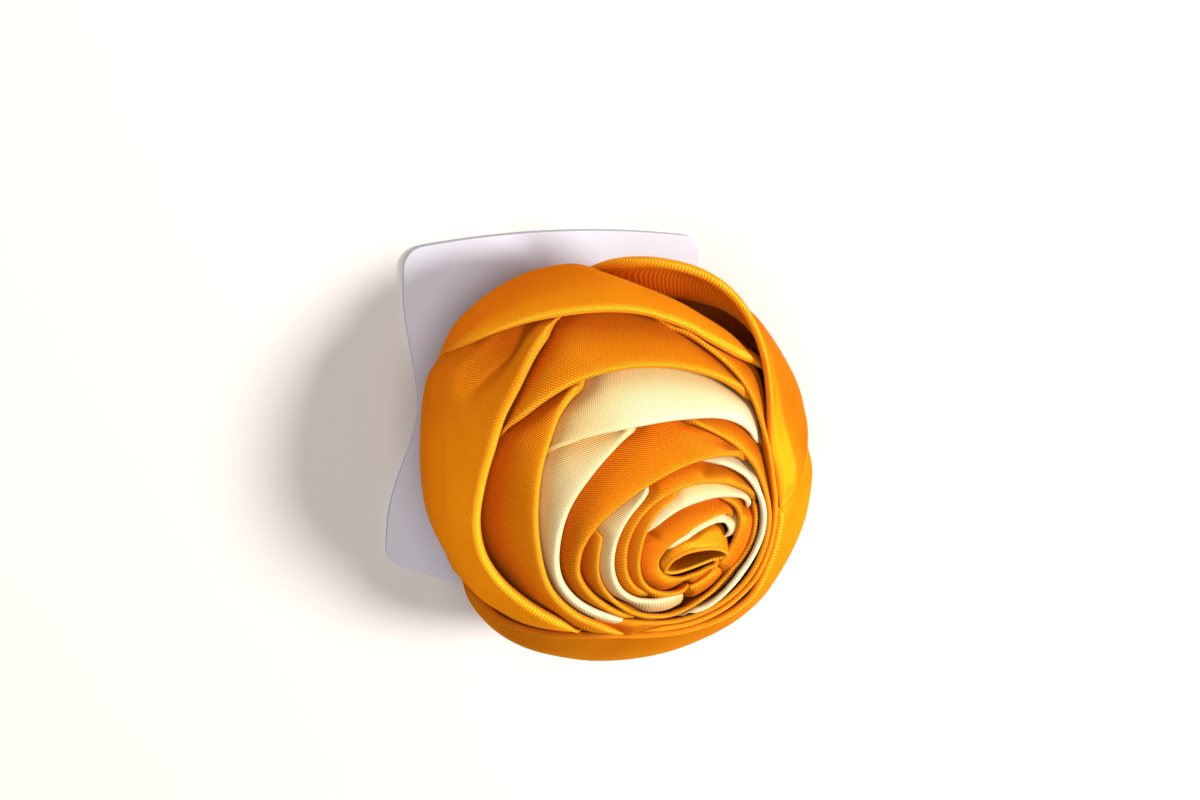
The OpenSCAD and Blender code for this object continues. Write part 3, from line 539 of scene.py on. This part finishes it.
def column_at(layer, turn):
    """The laid petal's nearest section, and how many degrees past its end the turn is."""
    best = None
    turns = layer["turns"]
    for whole in (0, 360, -360):
        past = max(turns[0] - turn - whole, turn + whole - turns[-1], 0)
        if best is None or past < best[1]:
            best = (int(np.clip(round(turn + whole - turns[0]), 0, len(turns) - 1)), past)
    return best


print("a 1 mm wall with a bead of 0.5:", 2 * half_wall(1, 0.5, 0), "mm at its rim")

# %% [markdown]
# ## Room under the outer petals
# Two layers of ribbon touch at their rims and lie a little apart deeper down. A shrinkwrap modifier
# could push them apart, but takes no notice of the cloth's thickness on a slope. Here each laid petal
# gives a limit for the inner ones, square to its own slope, with walls and gap taken off.

# %% Room under the outer petals
PAST_END = 16
CLOTH_GAP, TIGHT = 0.3, 0.1
DEEP_GAP, DEEP_RUN = 1.0, 9
RIM_SLOPE = 1.25
SLANT_TURNS = 40
SLOPE_SPAN, STEEPEST = 1.5, 1.8
BEAD_RUN, GAPE_RUN = 3.5, 5
NO_LIMIT = 1000.0


def limit_under(laid, turn, lifts, half, slopes, loose):
    """How far from the hub a sheet may lie at a turn, under the petals laid so far."""
    limit = np.full(len(lifts), NO_LIMIT)
    for layer in laid:
        section, past = column_at(layer, turn)
        if past > PAST_END:
            continue
        up, out = layer["lift"][section][::-1], layer["far"][section][::-1]
        top, far = up[-1], out[-1]
        over = (lifts - top) * far * DEGREE
        inside = np.minimum(lifts, top)
        full = np.interp(inside, up, layer["full"][section][::-1])
        first = layer["turns"][0]
        if turn < first + SLANT_TURNS:
            past = np.maximum(past, first + curve(layer["slant"], 1, -over) - turn)
        ahead = np.minimum(inside + SLOPE_SPAN, top)
        climb = np.interp(ahead, up, out) - np.interp(inside - SLOPE_SPAN, up, out)
        rise = climb / ((ahead - inside + SLOPE_SPAN) * DEGREE * far)
        wall, (slope, run) = layer["wall"] / 2, layer["hug"]
        room = (half + wall * full + TIGHT
                + loose * full * (CLOTH_GAP - TIGHT + DEEP_GAP * ease(-over / DEEP_RUN))
                + wall * layer["bead"] * full * np.maximum(0, 1 - np.abs(over) / BEAD_RUN))
        gape = layer["gape"] * np.maximum(0, 1 - np.abs(over + 1) / GAPE_RUN)
        beyond = np.maximum(over, 0)
        near = np.maximum(slopes, curve(slope, 1, turn)) * np.minimum(beyond, run)
        off = near + RIM_SLOPE * np.maximum(0, beyond - run)
        at = (np.interp(inside, up, out) - room * np.minimum(STEEPEST, np.sqrt(1 + rise**2))
              - loose * full * gape + off + RIM_SLOPE * past * DEGREE * far)
        limit = np.minimum(limit, at)
    return limit


print("gap:", TIGHT, "mm at a rim,", CLOTH_GAP + DEEP_GAP, "mm deep down")

# %% [markdown]
# ## Ends and folds of a petal
# No ribbon end shows on the real rose: each is led down under its neighbour and pressed thin, and the
# face between two rims is hollow. Both could be pulled into shape by hand, but then a change of one
# petal would undo the next. So they are rules as well.

# %% Ends and folds of a petal
UNDER_COVER = 4
THINNEST = 0.25
LOWEST_RIM, END_DROP = 8.0, 2.5
RIM_STEP, LEAST_FOLD = 0.5, 1
FOOT_RUN = 28
HOLLOW = 0.9
NARROW, WIDE_RUN, WIDE_POWER = 2, 6, 0.7
CREST_RUN = 4.5


def tucked(petal, laid, turns, rim_lift):
    """Rim lifts, with the ends led down under the petal that covers them."""
    first, last = petal["rows"][0][0], petal["rows"][-1][0]
    before, after = petal["tuck"]
    lifts = rim_lift.copy()
    for c, turn in enumerate(turns):
        spots = [(layer, *column_at(layer, turn)) for layer in laid]
        covers = [layer["lift"][section][0] for layer, section, past in spots if past == 0]
        down = max(ease((first + 1 - turn) / (before + 1)) * (before > 0),
                   ease((turn - last + 1) / (after + 1)) * (after > 0))
        if covers and down > 0:
            lifts[c] += (min(max(covers) - UNDER_COVER, rim_lift[c]) - rim_lift[c]) * down
    return lifts


def thinned(petal, turns, sunk):
    """The part of the full wall that is left, less towards the ends."""
    full = np.ones_like(sunk)
    from_first = turns[:, None] - petal["rows"][0][0] - curve(petal["slant"], 1, sunk)
    to_last = petal["rows"][-1][0] - turns[:, None]
    for run, away in zip(petal["thin"], (from_first, to_last)):
        if run:
            full = np.minimum(full, THINNEST + (1 - THINNEST) * ease(away / run))
    return full


def rim_below(laid, turn, rim_lift):
    """Lift of the next rim further out, and how much of its wall is left there."""
    lower, cover = LOWEST_RIM, 0
    for layer in laid:
        section, past = column_at(layer, turn)
        rim = layer["lift"][section][0] - END_DROP * past
        if lower < rim < rim_lift - RIM_STEP and past <= PAST_END:
            lower, cover = rim, layer["full"][section][0]
    return min(lower, rim_lift - LEAST_FOLD), cover


def free_fall(petal, turn, lift, down, rim_far, share, below, width, cover):
    """How far from the hub the sheet would lie with no petal outside it."""
    u = np.clip((lift[0] - lift) / (lift[0] - below), 0, 1)
    power = 1 + min(1, max(0, (width - NARROW) / WIDE_RUN)) * WIDE_POWER
    dip = (petal["wall"] / 2 + CLOTH_GAP + HOLLOW) * cover
    shape = dome(turn, lift)
    to_foot = 1 - (1 - share) * ease((below - lift) / FOOT_RUN)
    free = (shape + (rim_far - shape[0]) * (1 - u)) * to_foot - dip * u**power
    crest_from, crest_out = (curve(petal["crest"], n, turn) for n in (1, 2))
    free = free - crest_out * ease((down - crest_from) / CREST_RUN)
    for at, deep_at, half_turn, half_deep, lean, depth in petal["creases"]:
        side = (turn - (at + lean * (down - deep_at))) / half_turn
        free = free + depth * np.exp(-side**2 - ((down - deep_at) / half_deep) ** 2)
    return free


print("ends are tucked", UNDER_COVER, "degrees under")

# %% Lay the petals
STEPS_DOWN = 44
EVEN_STEPS, GROWING_STEPS = 0.38, 0.62
RIM_OUT, RIM_UNDER = 0.8, 0.6
SHORT_FALL, FALL_PART, WIDEST_FOLD = 1.5, 0.7, 16
FACE_BLUR, RIM_BLUR, WIDTH_BLUR = 2.5, 1.2, 2
SMOOTHINGS = 6


def smoothed(far):
    soft = blur(far, FACE_BLUR)
    for _ in range(SMOOTHINGS):
        soft[:, 1:-1] = (soft[:, :-2] + 2 * soft[:, 1:-1] + soft[:, 2:]) / 4
    soft[:, 0] = blur(far[:, :1], RIM_BLUR)[:, 0]
    return soft


def lay(petal, laid):
    """The petal's middle line at every degree of turn, under the ones laid before."""
    rows, (before, after) = petal["rows"], petal["tuck"]
    turns = np.arange(rows[0][0] - before, rows[-1][0] + after + 1, 1.0)
    half_rim = petal["wall"] / 2 * (1 + petal["bead"])
    rim_out = curve(rows, 1, turns) + half_rim * RIM_OUT
    rim_up = curve(rows, 2, turns) - half_rim * RIM_UNDER
    rim_far = np.hypot(rim_out, rim_up - HUB)
    rim_lift = tucked(petal, laid, turns, np.degrees(np.arctan2(rim_up - HUB, rim_out)))
    step = np.arange(STEPS_DOWN + 1) / STEPS_DOWN
    step = EVEN_STEPS * step + GROWING_STEPS * step**2
    lift = rim_lift[:, None] + (foot_lift(turns) - rim_lift)[:, None] * step
    sunk = (rim_lift[:, None] - lift) * rim_far[:, None] * DEGREE
    full = thinned(petal, turns, sunk)
    share = curve(petal["share"], 1, turns)
    far, half, widths = np.zeros_like(lift), np.zeros_like(lift), np.zeros(len(turns))
    for c, turn in enumerate(turns):
        below, cover = rim_below(laid, turn, rim_lift[c])
        width = (rim_lift[c] - below) * rim_far[c] * DEGREE
        widths[c] = min(width, WIDEST_FOLD)
        half[c] = half_wall(petal["wall"] * full[c], petal["bead"], sunk[c])
        slopes = RIM_SLOPE * (1 - ease(sunk[c] / max(SHORT_FALL, FALL_PART * width)))
        held = limit_under(laid, turn, lift[c][:1], half[c][:1], RIM_SLOPE, 1)[0]
        rim_far[c] = min(rim_far[c], held)
        free = free_fall(petal, turn, lift[c], sunk[c], rim_far[c], share[c], below, width, cover)
        far[c] = np.minimum(free, limit_under(laid, turn, lift[c], half[c], slopes, 1))
        far[c, 0] = rim_far[c]
    soft = smoothed(far)
    for c, turn in enumerate(turns):
        soft[c] = np.minimum(soft[c], limit_under(laid, turn, lift[c], half[c], RIM_SLOPE, 0))
    return dict(petal, turns=turns, lift=lift, far=soft, full=full, widths=blur(widths, WIDTH_BLUR))


laid = []
for ribbon in reversed(PETALS):
    laid.append(lay(ribbon, laid))
print("laid", len(laid), "petals,", sum(len(p["turns"]) for p in laid), "sections")

# %% [markdown]
# ## From a line to folded cloth
# A petal is ribbon folded once along its rim, so it has two sides, a round edge and a little padding.
# A solidify modifier could thicken a sheet, but would leave its rim square. So each section is drawn
# as a closed loop and the loops are joined. The cloth's coordinates are measured on the way, in
# millimetres: along the ribbon, and down from the fold.

# %% One folded section
EDGE_STEPS = 8
RIM_AT = STEPS_DOWN + EDGE_STEPS // 2
FINE_STEPS = 6


def fold_section(line, wall, bead):
    """Closed loop about a line of points: outer side, round rim, inner side."""
    ahead = np.gradient(line, axis=0)
    ahead /= np.linalg.norm(ahead, axis=1)[:, None]
    side = np.stack([-ahead[:, 1], ahead[:, 0]], 1)
    down = np.concatenate([[0], np.cumsum(np.linalg.norm(np.diff(line, axis=0), axis=1))])
    half = half_wall(wall, bead, down)[:, None]
    turn = np.pi * np.arange(1, EDGE_STEPS) / EDGE_STEPS
    edge = line[0] + half[0] * (np.cos(turn)[:, None] * side[0] - np.sin(turn)[:, None] * ahead[0])
    inner = np.r_[0:FINE_STEPS, FINE_STEPS:STEPS_DOWN:2, STEPS_DOWN]
    return np.concatenate([(line + side * half)[::-1], edge, (line - side * half)[inner]])


print("steps from foot to rim:", RIM_AT)

# %% Join the sections into a skin
def cloth_spots(sections, rim, closed):
    count, size = sections.shape[:2]
    around = np.linalg.norm(np.roll(sections, -1, axis=1) - sections, axis=2)
    down = np.concatenate([np.zeros((count, 1)), np.cumsum(around, axis=1)], 1)
    down -= down[:, rim][:, None]
    step = np.linalg.norm(np.roll(sections, -1, axis=0) - sections, axis=2)
    along = np.concatenate([np.zeros((1, size)), np.cumsum(step, axis=0)], 0)
    along -= along[count // 2][None]
    spots = []
    for i in range(count if closed else count - 1):
        after = (i + 1) % count
        for j in range(size):
            beside = (j + 1) % size
            spots += [(along[i, j], down[i, j]), (along[i + 1, j], down[after, j]),
                      (along[i + 1, beside], down[after, j + 1]), (along[i, beside], down[i, j + 1])]
    if not closed:
        spots += [(0, down[0, j]) for j in range(size)]
        spots += [(0, down[-1, j]) for j in reversed(range(size))]
    return np.array(spots, np.float32).ravel()


def skin(name, sections, rim, finish, shade, painted_shade, closed=False):
    """Joins equal closed loops into one mesh of cloth."""
    count, size = sections.shape[:2]
    faces = []
    for i in range(count if closed else count - 1):
        here, after = i * size, (i + 1) % count * size
        faces += [(here + j, after + j, after + (j + 1) % size, here + (j + 1) % size)
                  for j in range(size)]
    if not closed:
        faces += [tuple(range(size)), tuple(reversed(range((count - 1) * size, count * size)))]
    piece = plain_mesh(name, (sections.reshape(-1, 3) * MM).tolist(), faces)
    mesh = piece.data
    cloth = mesh.uv_layers.new(name="cloth")
    cloth.data.foreach_set("uv", cloth_spots(sections, rim, closed))
    # Two stored values for painted shade: depth in the fold, and darkening where the petal faces away.
    for value_name, values in (("shade", shade), ("painted_shade", np.zeros((count, size)) + painted_shade)):
        on_points = mesh.attributes.new(value_name, "FLOAT", "POINT")
        on_points.data.foreach_set("value", values.astype(np.float32).ravel())
    mesh.polygons.foreach_set("use_smooth", np.ones(len(mesh.polygons), bool))
    mesh.materials.append(finish)
    if sum(face.area * face.normal.dot(face.center) for face in mesh.polygons) < 0:
        mesh.flip_normals()
    return piece


print("skin helpers are ready")

# %% [markdown]
# ## Stitching the petals
# Each laid petal becomes one piece of satin in the place of its CAD node. An end cut aslant could be
# made with a boolean, which leaves a ragged edge.
# Instead the lines of the loop start later, the deeper they lie.

# %% Stitch each petal
INNER_SHADE_RUN = 3


def slanted(petal, loops, away):
    """The turn of every point, with the first end aslant and the loops to fit."""
    first, last = petal["turns"][0], petal["turns"][-1]
    start = first + curve(petal["slant"], 1, away)
    turns = last - (last - petal["turns"])[:, None] * (last - start) / (last - first)
    for j in range(loops.shape[1]):
        if start[j] > first:
            moved = [np.interp(turns[:, j], petal["turns"], loops[:, j, n]) for n in (0, 1)]
            loops[:, j] = np.stack(moved, 1)
    return turns


def stitch(petal):
    tilt = np.radians(petal["lift"])
    lines = np.stack([petal["far"] * np.cos(tilt), HUB + petal["far"] * np.sin(tilt)], 2)
    walls = petal["wall"] * petal["full"]
    loops = np.array([fold_section(line, wall, petal["bead"]) for line, wall in zip(lines, walls)])
    deep_at = np.cumsum(np.linalg.norm(np.diff(loops[0], axis=0, prepend=loops[0][:1]), axis=1))
    away = np.abs(deep_at - deep_at[RIM_AT])
    turns = slanted(petal, loops, away)
    angle = np.radians(turns)
    x, y = BUD[0] + loops[..., 0] * np.cos(angle), BUD[1] + loops[..., 0] * np.sin(angle)
    # How deep in the fold each point lies, for painted shade: 0 on the rim, 1 where the next petal
    # covers it.
    outer = np.arange(len(away)) <= RIM_AT
    shade = np.where(outer, away / petal["widths"][:, None], away / INNER_SHADE_RUN)
    piece = skin(petal["name"] + "_satin", np.stack([x, y, loops[..., 1]], 2), RIM_AT,
                 satins[petal["cloth"]], np.clip(shade, 0, 1), curve(petal["painted_shade"], 1, turns))
    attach(piece, "root")
    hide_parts(petal["name"])


for petal_laid in laid:
    stitch(petal_laid)

# %% [markdown]
# ## The rolled bud
# At the heart the ribbon is rolled into a tube and pinched flat, so its rim is a narrow slit with a
# dark hollow. It could be cut from a cone, but the pinch wouldn't show. It is made as a ring of
# sections between two closed curves about the bud: the slit's rim, and the roll's widest line.

# %% Rolled bud
SLIT = [(-4.9, -3.6, 47), (-3.9, -1.6, 47.4), (-2.4, -0.5, 47.7), (-1.1, 0.2, 47.9), (1.1, 0.6, 48),
        (3.8, 0.6, 47.9), (6.1, 0, 47.6), (7.7, -1.1, 47.2), (8, -1.9, 47), (7.2, -2.4, 46.6),
        (5.7, -2.9, 46), (3.7, -3.6, 45.8), (1.1, -4.4, 45.8), (-1.6, -5, 45.9), (-3.4, -4.9, 46.2),
        (-4.6, -4.4, 46.6)]
SHOULDER = [(-6, -3), (-4.6, -0.4), (-3.3, 1.6), (-1.8, 2.5), (0.6, 2.9), (3.8, 4.4), (6.9, 4),
            (8.4, 1.6), (8, -1.6), (7, -2.6), (5.4, -3.4), (3.4, -4), (1, -4.6), (-1.7, -5.1),
            (-3.6, -5.1), (-5.2, -4.6)]
ROLL_DOWN = np.array([0, 0.35, 0.8, 1.4, 2.1, 3, 4.2, 6, 9, 14, 20, 28, 38])
ROLL_OUT = np.array([0, 0.2, 0.42, 0.62, 0.78, 0.9, 0.98, 1, 0.97, 0.85, 0.65, 0.45, 0.3])
ROLL_ROUND = 128
HALF_ROLL_WALL = 0.4
INNER_PART = 0.6
RIM_ANGLES = (150, 120, 90, 60, 30)
ROLL_RIM_AT = len(ROLL_DOWN) + len(RIM_ANGLES) // 2
OUTER_SHADE_RUN, HOLLOW_SHADE_RUN, ROLL_PAINTED_SHADE = 14, 4, 0.3


def closed_curve(points, count):
    """Smooth closed curve through the points, by a Catmull-Rom blend."""
    p = np.array(points, float)
    out = []
    for k in range(count):
        i, u = divmod(k * len(p) / count, 1)
        a, b, c, d = (p[(int(i) + n) % len(p)] for n in (-1, 0, 1, 2))
        bend = (2 * a - 5 * b + 4 * c - d) * u**2 + (3 * b - a - 3 * c + d) * u**3
        out.append(0.5 * (2 * b + (c - a) * u + bend))
    return np.array(out)


def roll_section(slit, shoulder, i):
    """One closed loop: up the outer side, over the slit's rim and down the hollow."""
    x_y, z = slit[i][:2], slit[i][2]
    out_way = shoulder[i] - x_y
    along_rim = slit[(i + 1) % ROLL_ROUND][:2] - slit[i - 1][:2]
    outward = np.array([-along_rim[1], along_rim[0]]) / np.linalg.norm(along_rim) * HALF_ROLL_WALL
    loop = [(*(x_y + out_way * t + outward), z - d) for t, d in zip(ROLL_OUT, ROLL_DOWN)][::-1]
    for a in map(math.radians, RIM_ANGLES):
        loop.append((*(x_y - outward * math.cos(a)), z + HALF_ROLL_WALL * math.sin(a)))
    loop += [(*(x_y + out_way * t * INNER_PART - outward), z - d) for t, d in zip(ROLL_OUT, ROLL_DOWN)]
    return [(BUD[0] + x, BUD[1] + y, height) for x, y, height in loop]


slit, shoulder = closed_curve(SLIT, ROLL_ROUND), closed_curve(SHOULDER, ROLL_ROUND)
sections = np.array([roll_section(slit, shoulder, i) for i in range(ROLL_ROUND)])
# Painted shade: darker down the roll's outer side, and quickly darker down the hollow.
sunk_in = np.concatenate([ROLL_DOWN[::-1] / OUTER_SHADE_RUN, np.zeros(len(RIM_ANGLES)),
                          ROLL_DOWN / HOLLOW_SHADE_RUN])
roll_shade = np.tile(np.clip(sunk_in, 0, 1), (ROLL_ROUND, 1))
roll = skin("bud_core_satin", sections, ROLL_RIM_AT, satins["gold"], roll_shade, ROLL_PAINTED_SHADE, closed=True)
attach(roll, "root")
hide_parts("bud_core")
print("roll:", in_mm(roll.dimensions), "mm")

# %% [markdown]
# ## Felt backing
# A round of stiff white felt closes the back of the flower and carries the pin. It could be a plain
# cylinder, but real felt has a soft cut edge that isn't quite round. So the disc is turned from a
# rounded section, in the CAD box's own metres, and its edge wanders a little.

# %% Felt finish
felt_finish = new_finish("white_felt")
fibres = clouds(felt_finish, scale=2600, detail=6)
paint(felt_finish, {
    "Base Color": mix_colour(felt_finish, fibres, (0.80, 0.79, 0.76), (0.93, 0.92, 0.89)),
    "Roughness": 0.95, "Sheen Weight": 0.4, "Normal": bumps(felt_finish, fibres, distance=0.0003)})
print("felt finish:", felt_finish.name)

# %% Felt disc
felt_low, felt_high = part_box("felt_disc")
FELT_MIDDLE = ((felt_low.x + felt_high.x) / 2, (felt_low.y + felt_high.y) / 2)
FELT_REACH = (felt_high.x - felt_low.x) / 2
SOFT = 0.0005
FELT_RINGS = (0.2, 0.4, 0.6, 0.8, 0.92)
FELT_ROUND, EDGE_POINTS = 144, 7
WANDER, WAVES = 0.004, 5
mid, half = (felt_low.z + felt_high.z) / 2, (felt_high.z - felt_low.z) / 2
profile = [(r * FELT_REACH, felt_low.z) for r in FELT_RINGS]
for i in range(EDGE_POINTS):
    a = -math.pi / 2 + math.pi * i / (EDGE_POINTS - 1)
    profile.append((FELT_REACH - SOFT + SOFT * math.cos(a), mid + half * math.sin(a)))
profile += [(r * FELT_REACH, felt_high.z) for r in reversed(FELT_RINGS)]
corners, faces, ring = [], [], len(profile)
for i in range(FELT_ROUND):
    a = 2 * math.pi * i / FELT_ROUND
    wobble = 1 - WANDER * (1 + math.sin(WAVES * a)) / 2
    corners += [(FELT_MIDDLE[0] + r * wobble * math.cos(a), FELT_MIDDLE[1] + r * wobble * math.sin(a), z)
                for r, z in profile]
    here, after = i * ring, (i + 1) % FELT_ROUND * ring
    faces += [(here + j, after + j, after + j + 1, here + j + 1) for j in range(ring - 1)]
faces.append(tuple(i * ring for i in reversed(range(FELT_ROUND))))
faces.append(tuple(i * ring + ring - 1 for i in range(FELT_ROUND)))
felt = plain_mesh("felt_backing", corners, faces)
felt.data.materials.append(felt_finish)
felt.data.polygons.foreach_set("use_smooth", np.ones(len(felt.data.polygons), bool))
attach(felt, "root")
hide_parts("felt_disc")
print("felt across:", round(2 * FELT_REACH / MM), "mm")

# %% [markdown]
# ## Bar pin
# The pin is stamped nickel steel. It could be modelled again here, but its shape in the CAD model is
# right, so it stays and only gets its metal, with fine scratches drawn out along the bar.

# %% Steel
steel = new_finish("nickel_steel")
scratches = clouds(steel, scale=900, stretch=(0.06, 1, 1))
paint(steel, {
    "Base Color": mix_colour(steel, scratches, (0.55, 0.54, 0.53), (0.72, 0.71, 0.70)),
    "Roughness": rescaled(steel, scratches, {"To Min": 0.22, "To Max": 0.42}), "Metallic": 1})
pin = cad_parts["bar_pin"]
pin.data.materials.clear()
pin.data.materials.append(steel)
print("bar pin:", in_mm(pin.dimensions), "mm")

# %% [markdown]
# ## Display card
# The card is smooth white plastic board with rounded corners, hollow sides, bowed edges and a slot to
# hang it by. It could be an extruded plate, but that would leave its cut edges razor sharp. So its
# outline is drawn as a flat curve, which Blender's own bevel rounds, and kept as a mesh.

# %% Card finish
card_finish = new_finish("white_card")
mottle, grains = clouds(card_finish, scale=40), clouds(card_finish, scale=3000)
paint(card_finish, {
    "Base Color": mix_colour(card_finish, mottle, (0.54, 0.54, 0.605), (0.57, 0.57, 0.635)),
    "Roughness": 0.6, "Specular IOR Level": 0.2,
    "Normal": bumps(card_finish, grains, distance=0.00005, strength=0.12)})
print("card finish:", card_finish.name)

# %% [markdown]
# ## The card's outline
# Widths are given at shares of the height, from the lower edge up. Four corners could be drawn as
# arcs, but they don't meet at right angles here. So the line is drawn inside the card by the corner
# radius and pushed out again, which rounds every corner in one go.

# %% Card outline
CARD_HEIGHT, CORNER, THICK = 82, 4.5, 1.2
CARD_WIDTHS = [(0, 68), (0.12, 67.4), (0.5, 56), (0.9, 63.6), (1, 64)]
TOP_BULGE, LOW_BULGE = 2, 8
SLOT = (13, 5, 10.5)
SIDE_STEPS, CORNER_STEPS, CORNER_TURN = 28, 12, 0.3
SLOT_STEP = 10


def card_half(share):
    return float(curve(CARD_WIDTHS, 1, share)) / 2


def inner_line():
    low = -CARD_HEIGHT / 2
    foot, head = low + LOW_BULGE + CORNER, -low - TOP_BULGE - CORNER
    tall = CARD_HEIGHT - LOW_BULGE - TOP_BULGE - 2 * CORNER
    shares = [i / SIDE_STEPS for i in range(SIDE_STEPS + 1)]
    right = [(card_half(share) - CORNER, foot + share * tall) for share in shares]
    across = [2 * i / SIDE_STEPS - 1 for i in range(1, SIDE_STEPS)]
    top_half, low_half = card_half(1) - CORNER, card_half(0) - CORNER
    top = [(-u * top_half, head + TOP_BULGE * (1 - u * u)) for u in across]
    left = [(-x, y) for x, y in reversed(right)]
    bottom = [(u * low_half, foot - LOW_BULGE * (1 - u * u)) for u in across]
    return right + top + left + bottom


def card_edge(inset):
    """Outline of the card, pushed out again by the corner radius, less the inset."""
    inner, edge, push = inner_line(), [], CORNER - inset
    for i, here in enumerate(inner):
        before, after = Vector(inner[i - 1]), Vector(inner[(i + 1) % len(inner)])
        one, two = (Vector(here) - before).normalized(), (after - Vector(here)).normalized()
        start, swing = math.atan2(-one.x, one.y), one.angle_signed(two)
        turns_here = abs(swing) > CORNER_TURN
        parts = [j / CORNER_STEPS for j in range(CORNER_STEPS + 1)] if turns_here else [0.5]
        for part in parts:
            a = start - swing * part
            edge.append((here[0] + push * math.cos(a), here[1] + push * math.sin(a)))
    return edge


def slot_edge(inset):
    long, high, drop = SLOT
    r, x = high / 2 + inset, (long - high) / 2
    middle = CARD_HEIGHT / 2 - drop
    half_circle = range(0, 181, SLOT_STEP)
    angles = [(side, math.radians(first + a)) for side, first in ((1, -90), (-1, 90))
              for a in half_circle]
    return [(side * x + r * math.cos(a), middle + r * math.sin(a)) for side, a in angles]


print("card at its waist:", round(2 * card_half(0.5), 1), "mm wide")

# %% Card board
ROUNDING = 0.12
drawing = bpy.data.curves.new("card_drawing", "CURVE")
drawing.dimensions = "2D"
drawing.fill_mode = "BOTH"
drawing.extrude = (THICK / 2 - ROUNDING) * MM
drawing.bevel_depth = ROUNDING * MM
drawing.bevel_resolution = 3
for edge in (card_edge(ROUNDING), slot_edge(ROUNDING)):
    line = drawing.splines.new("POLY")
    line.points.add(len(edge) - 1)
    line.points.foreach_set("co", np.array([(x * MM, y * MM, 0, 1) for x, y in edge]).ravel())
    line.use_cyclic_u = True
drawn = new_object("card_drawing", drawing)
bpy.context.view_layer.update()
card_mesh = bpy.data.meshes.new_from_object(drawn.evaluated_get(bpy.context.evaluated_depsgraph_get()))
bpy.data.objects.remove(drawn)
card = new_object("card_board", card_mesh)
card_mesh.transform(Matrix.Translation((0, 0, THICK / 2 * MM)))
card_mesh.materials.clear()
card_mesh.materials.append(card_finish)
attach(card, "root")
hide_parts("display_card")
print("card size:", in_mm(card.dimensions), "mm")
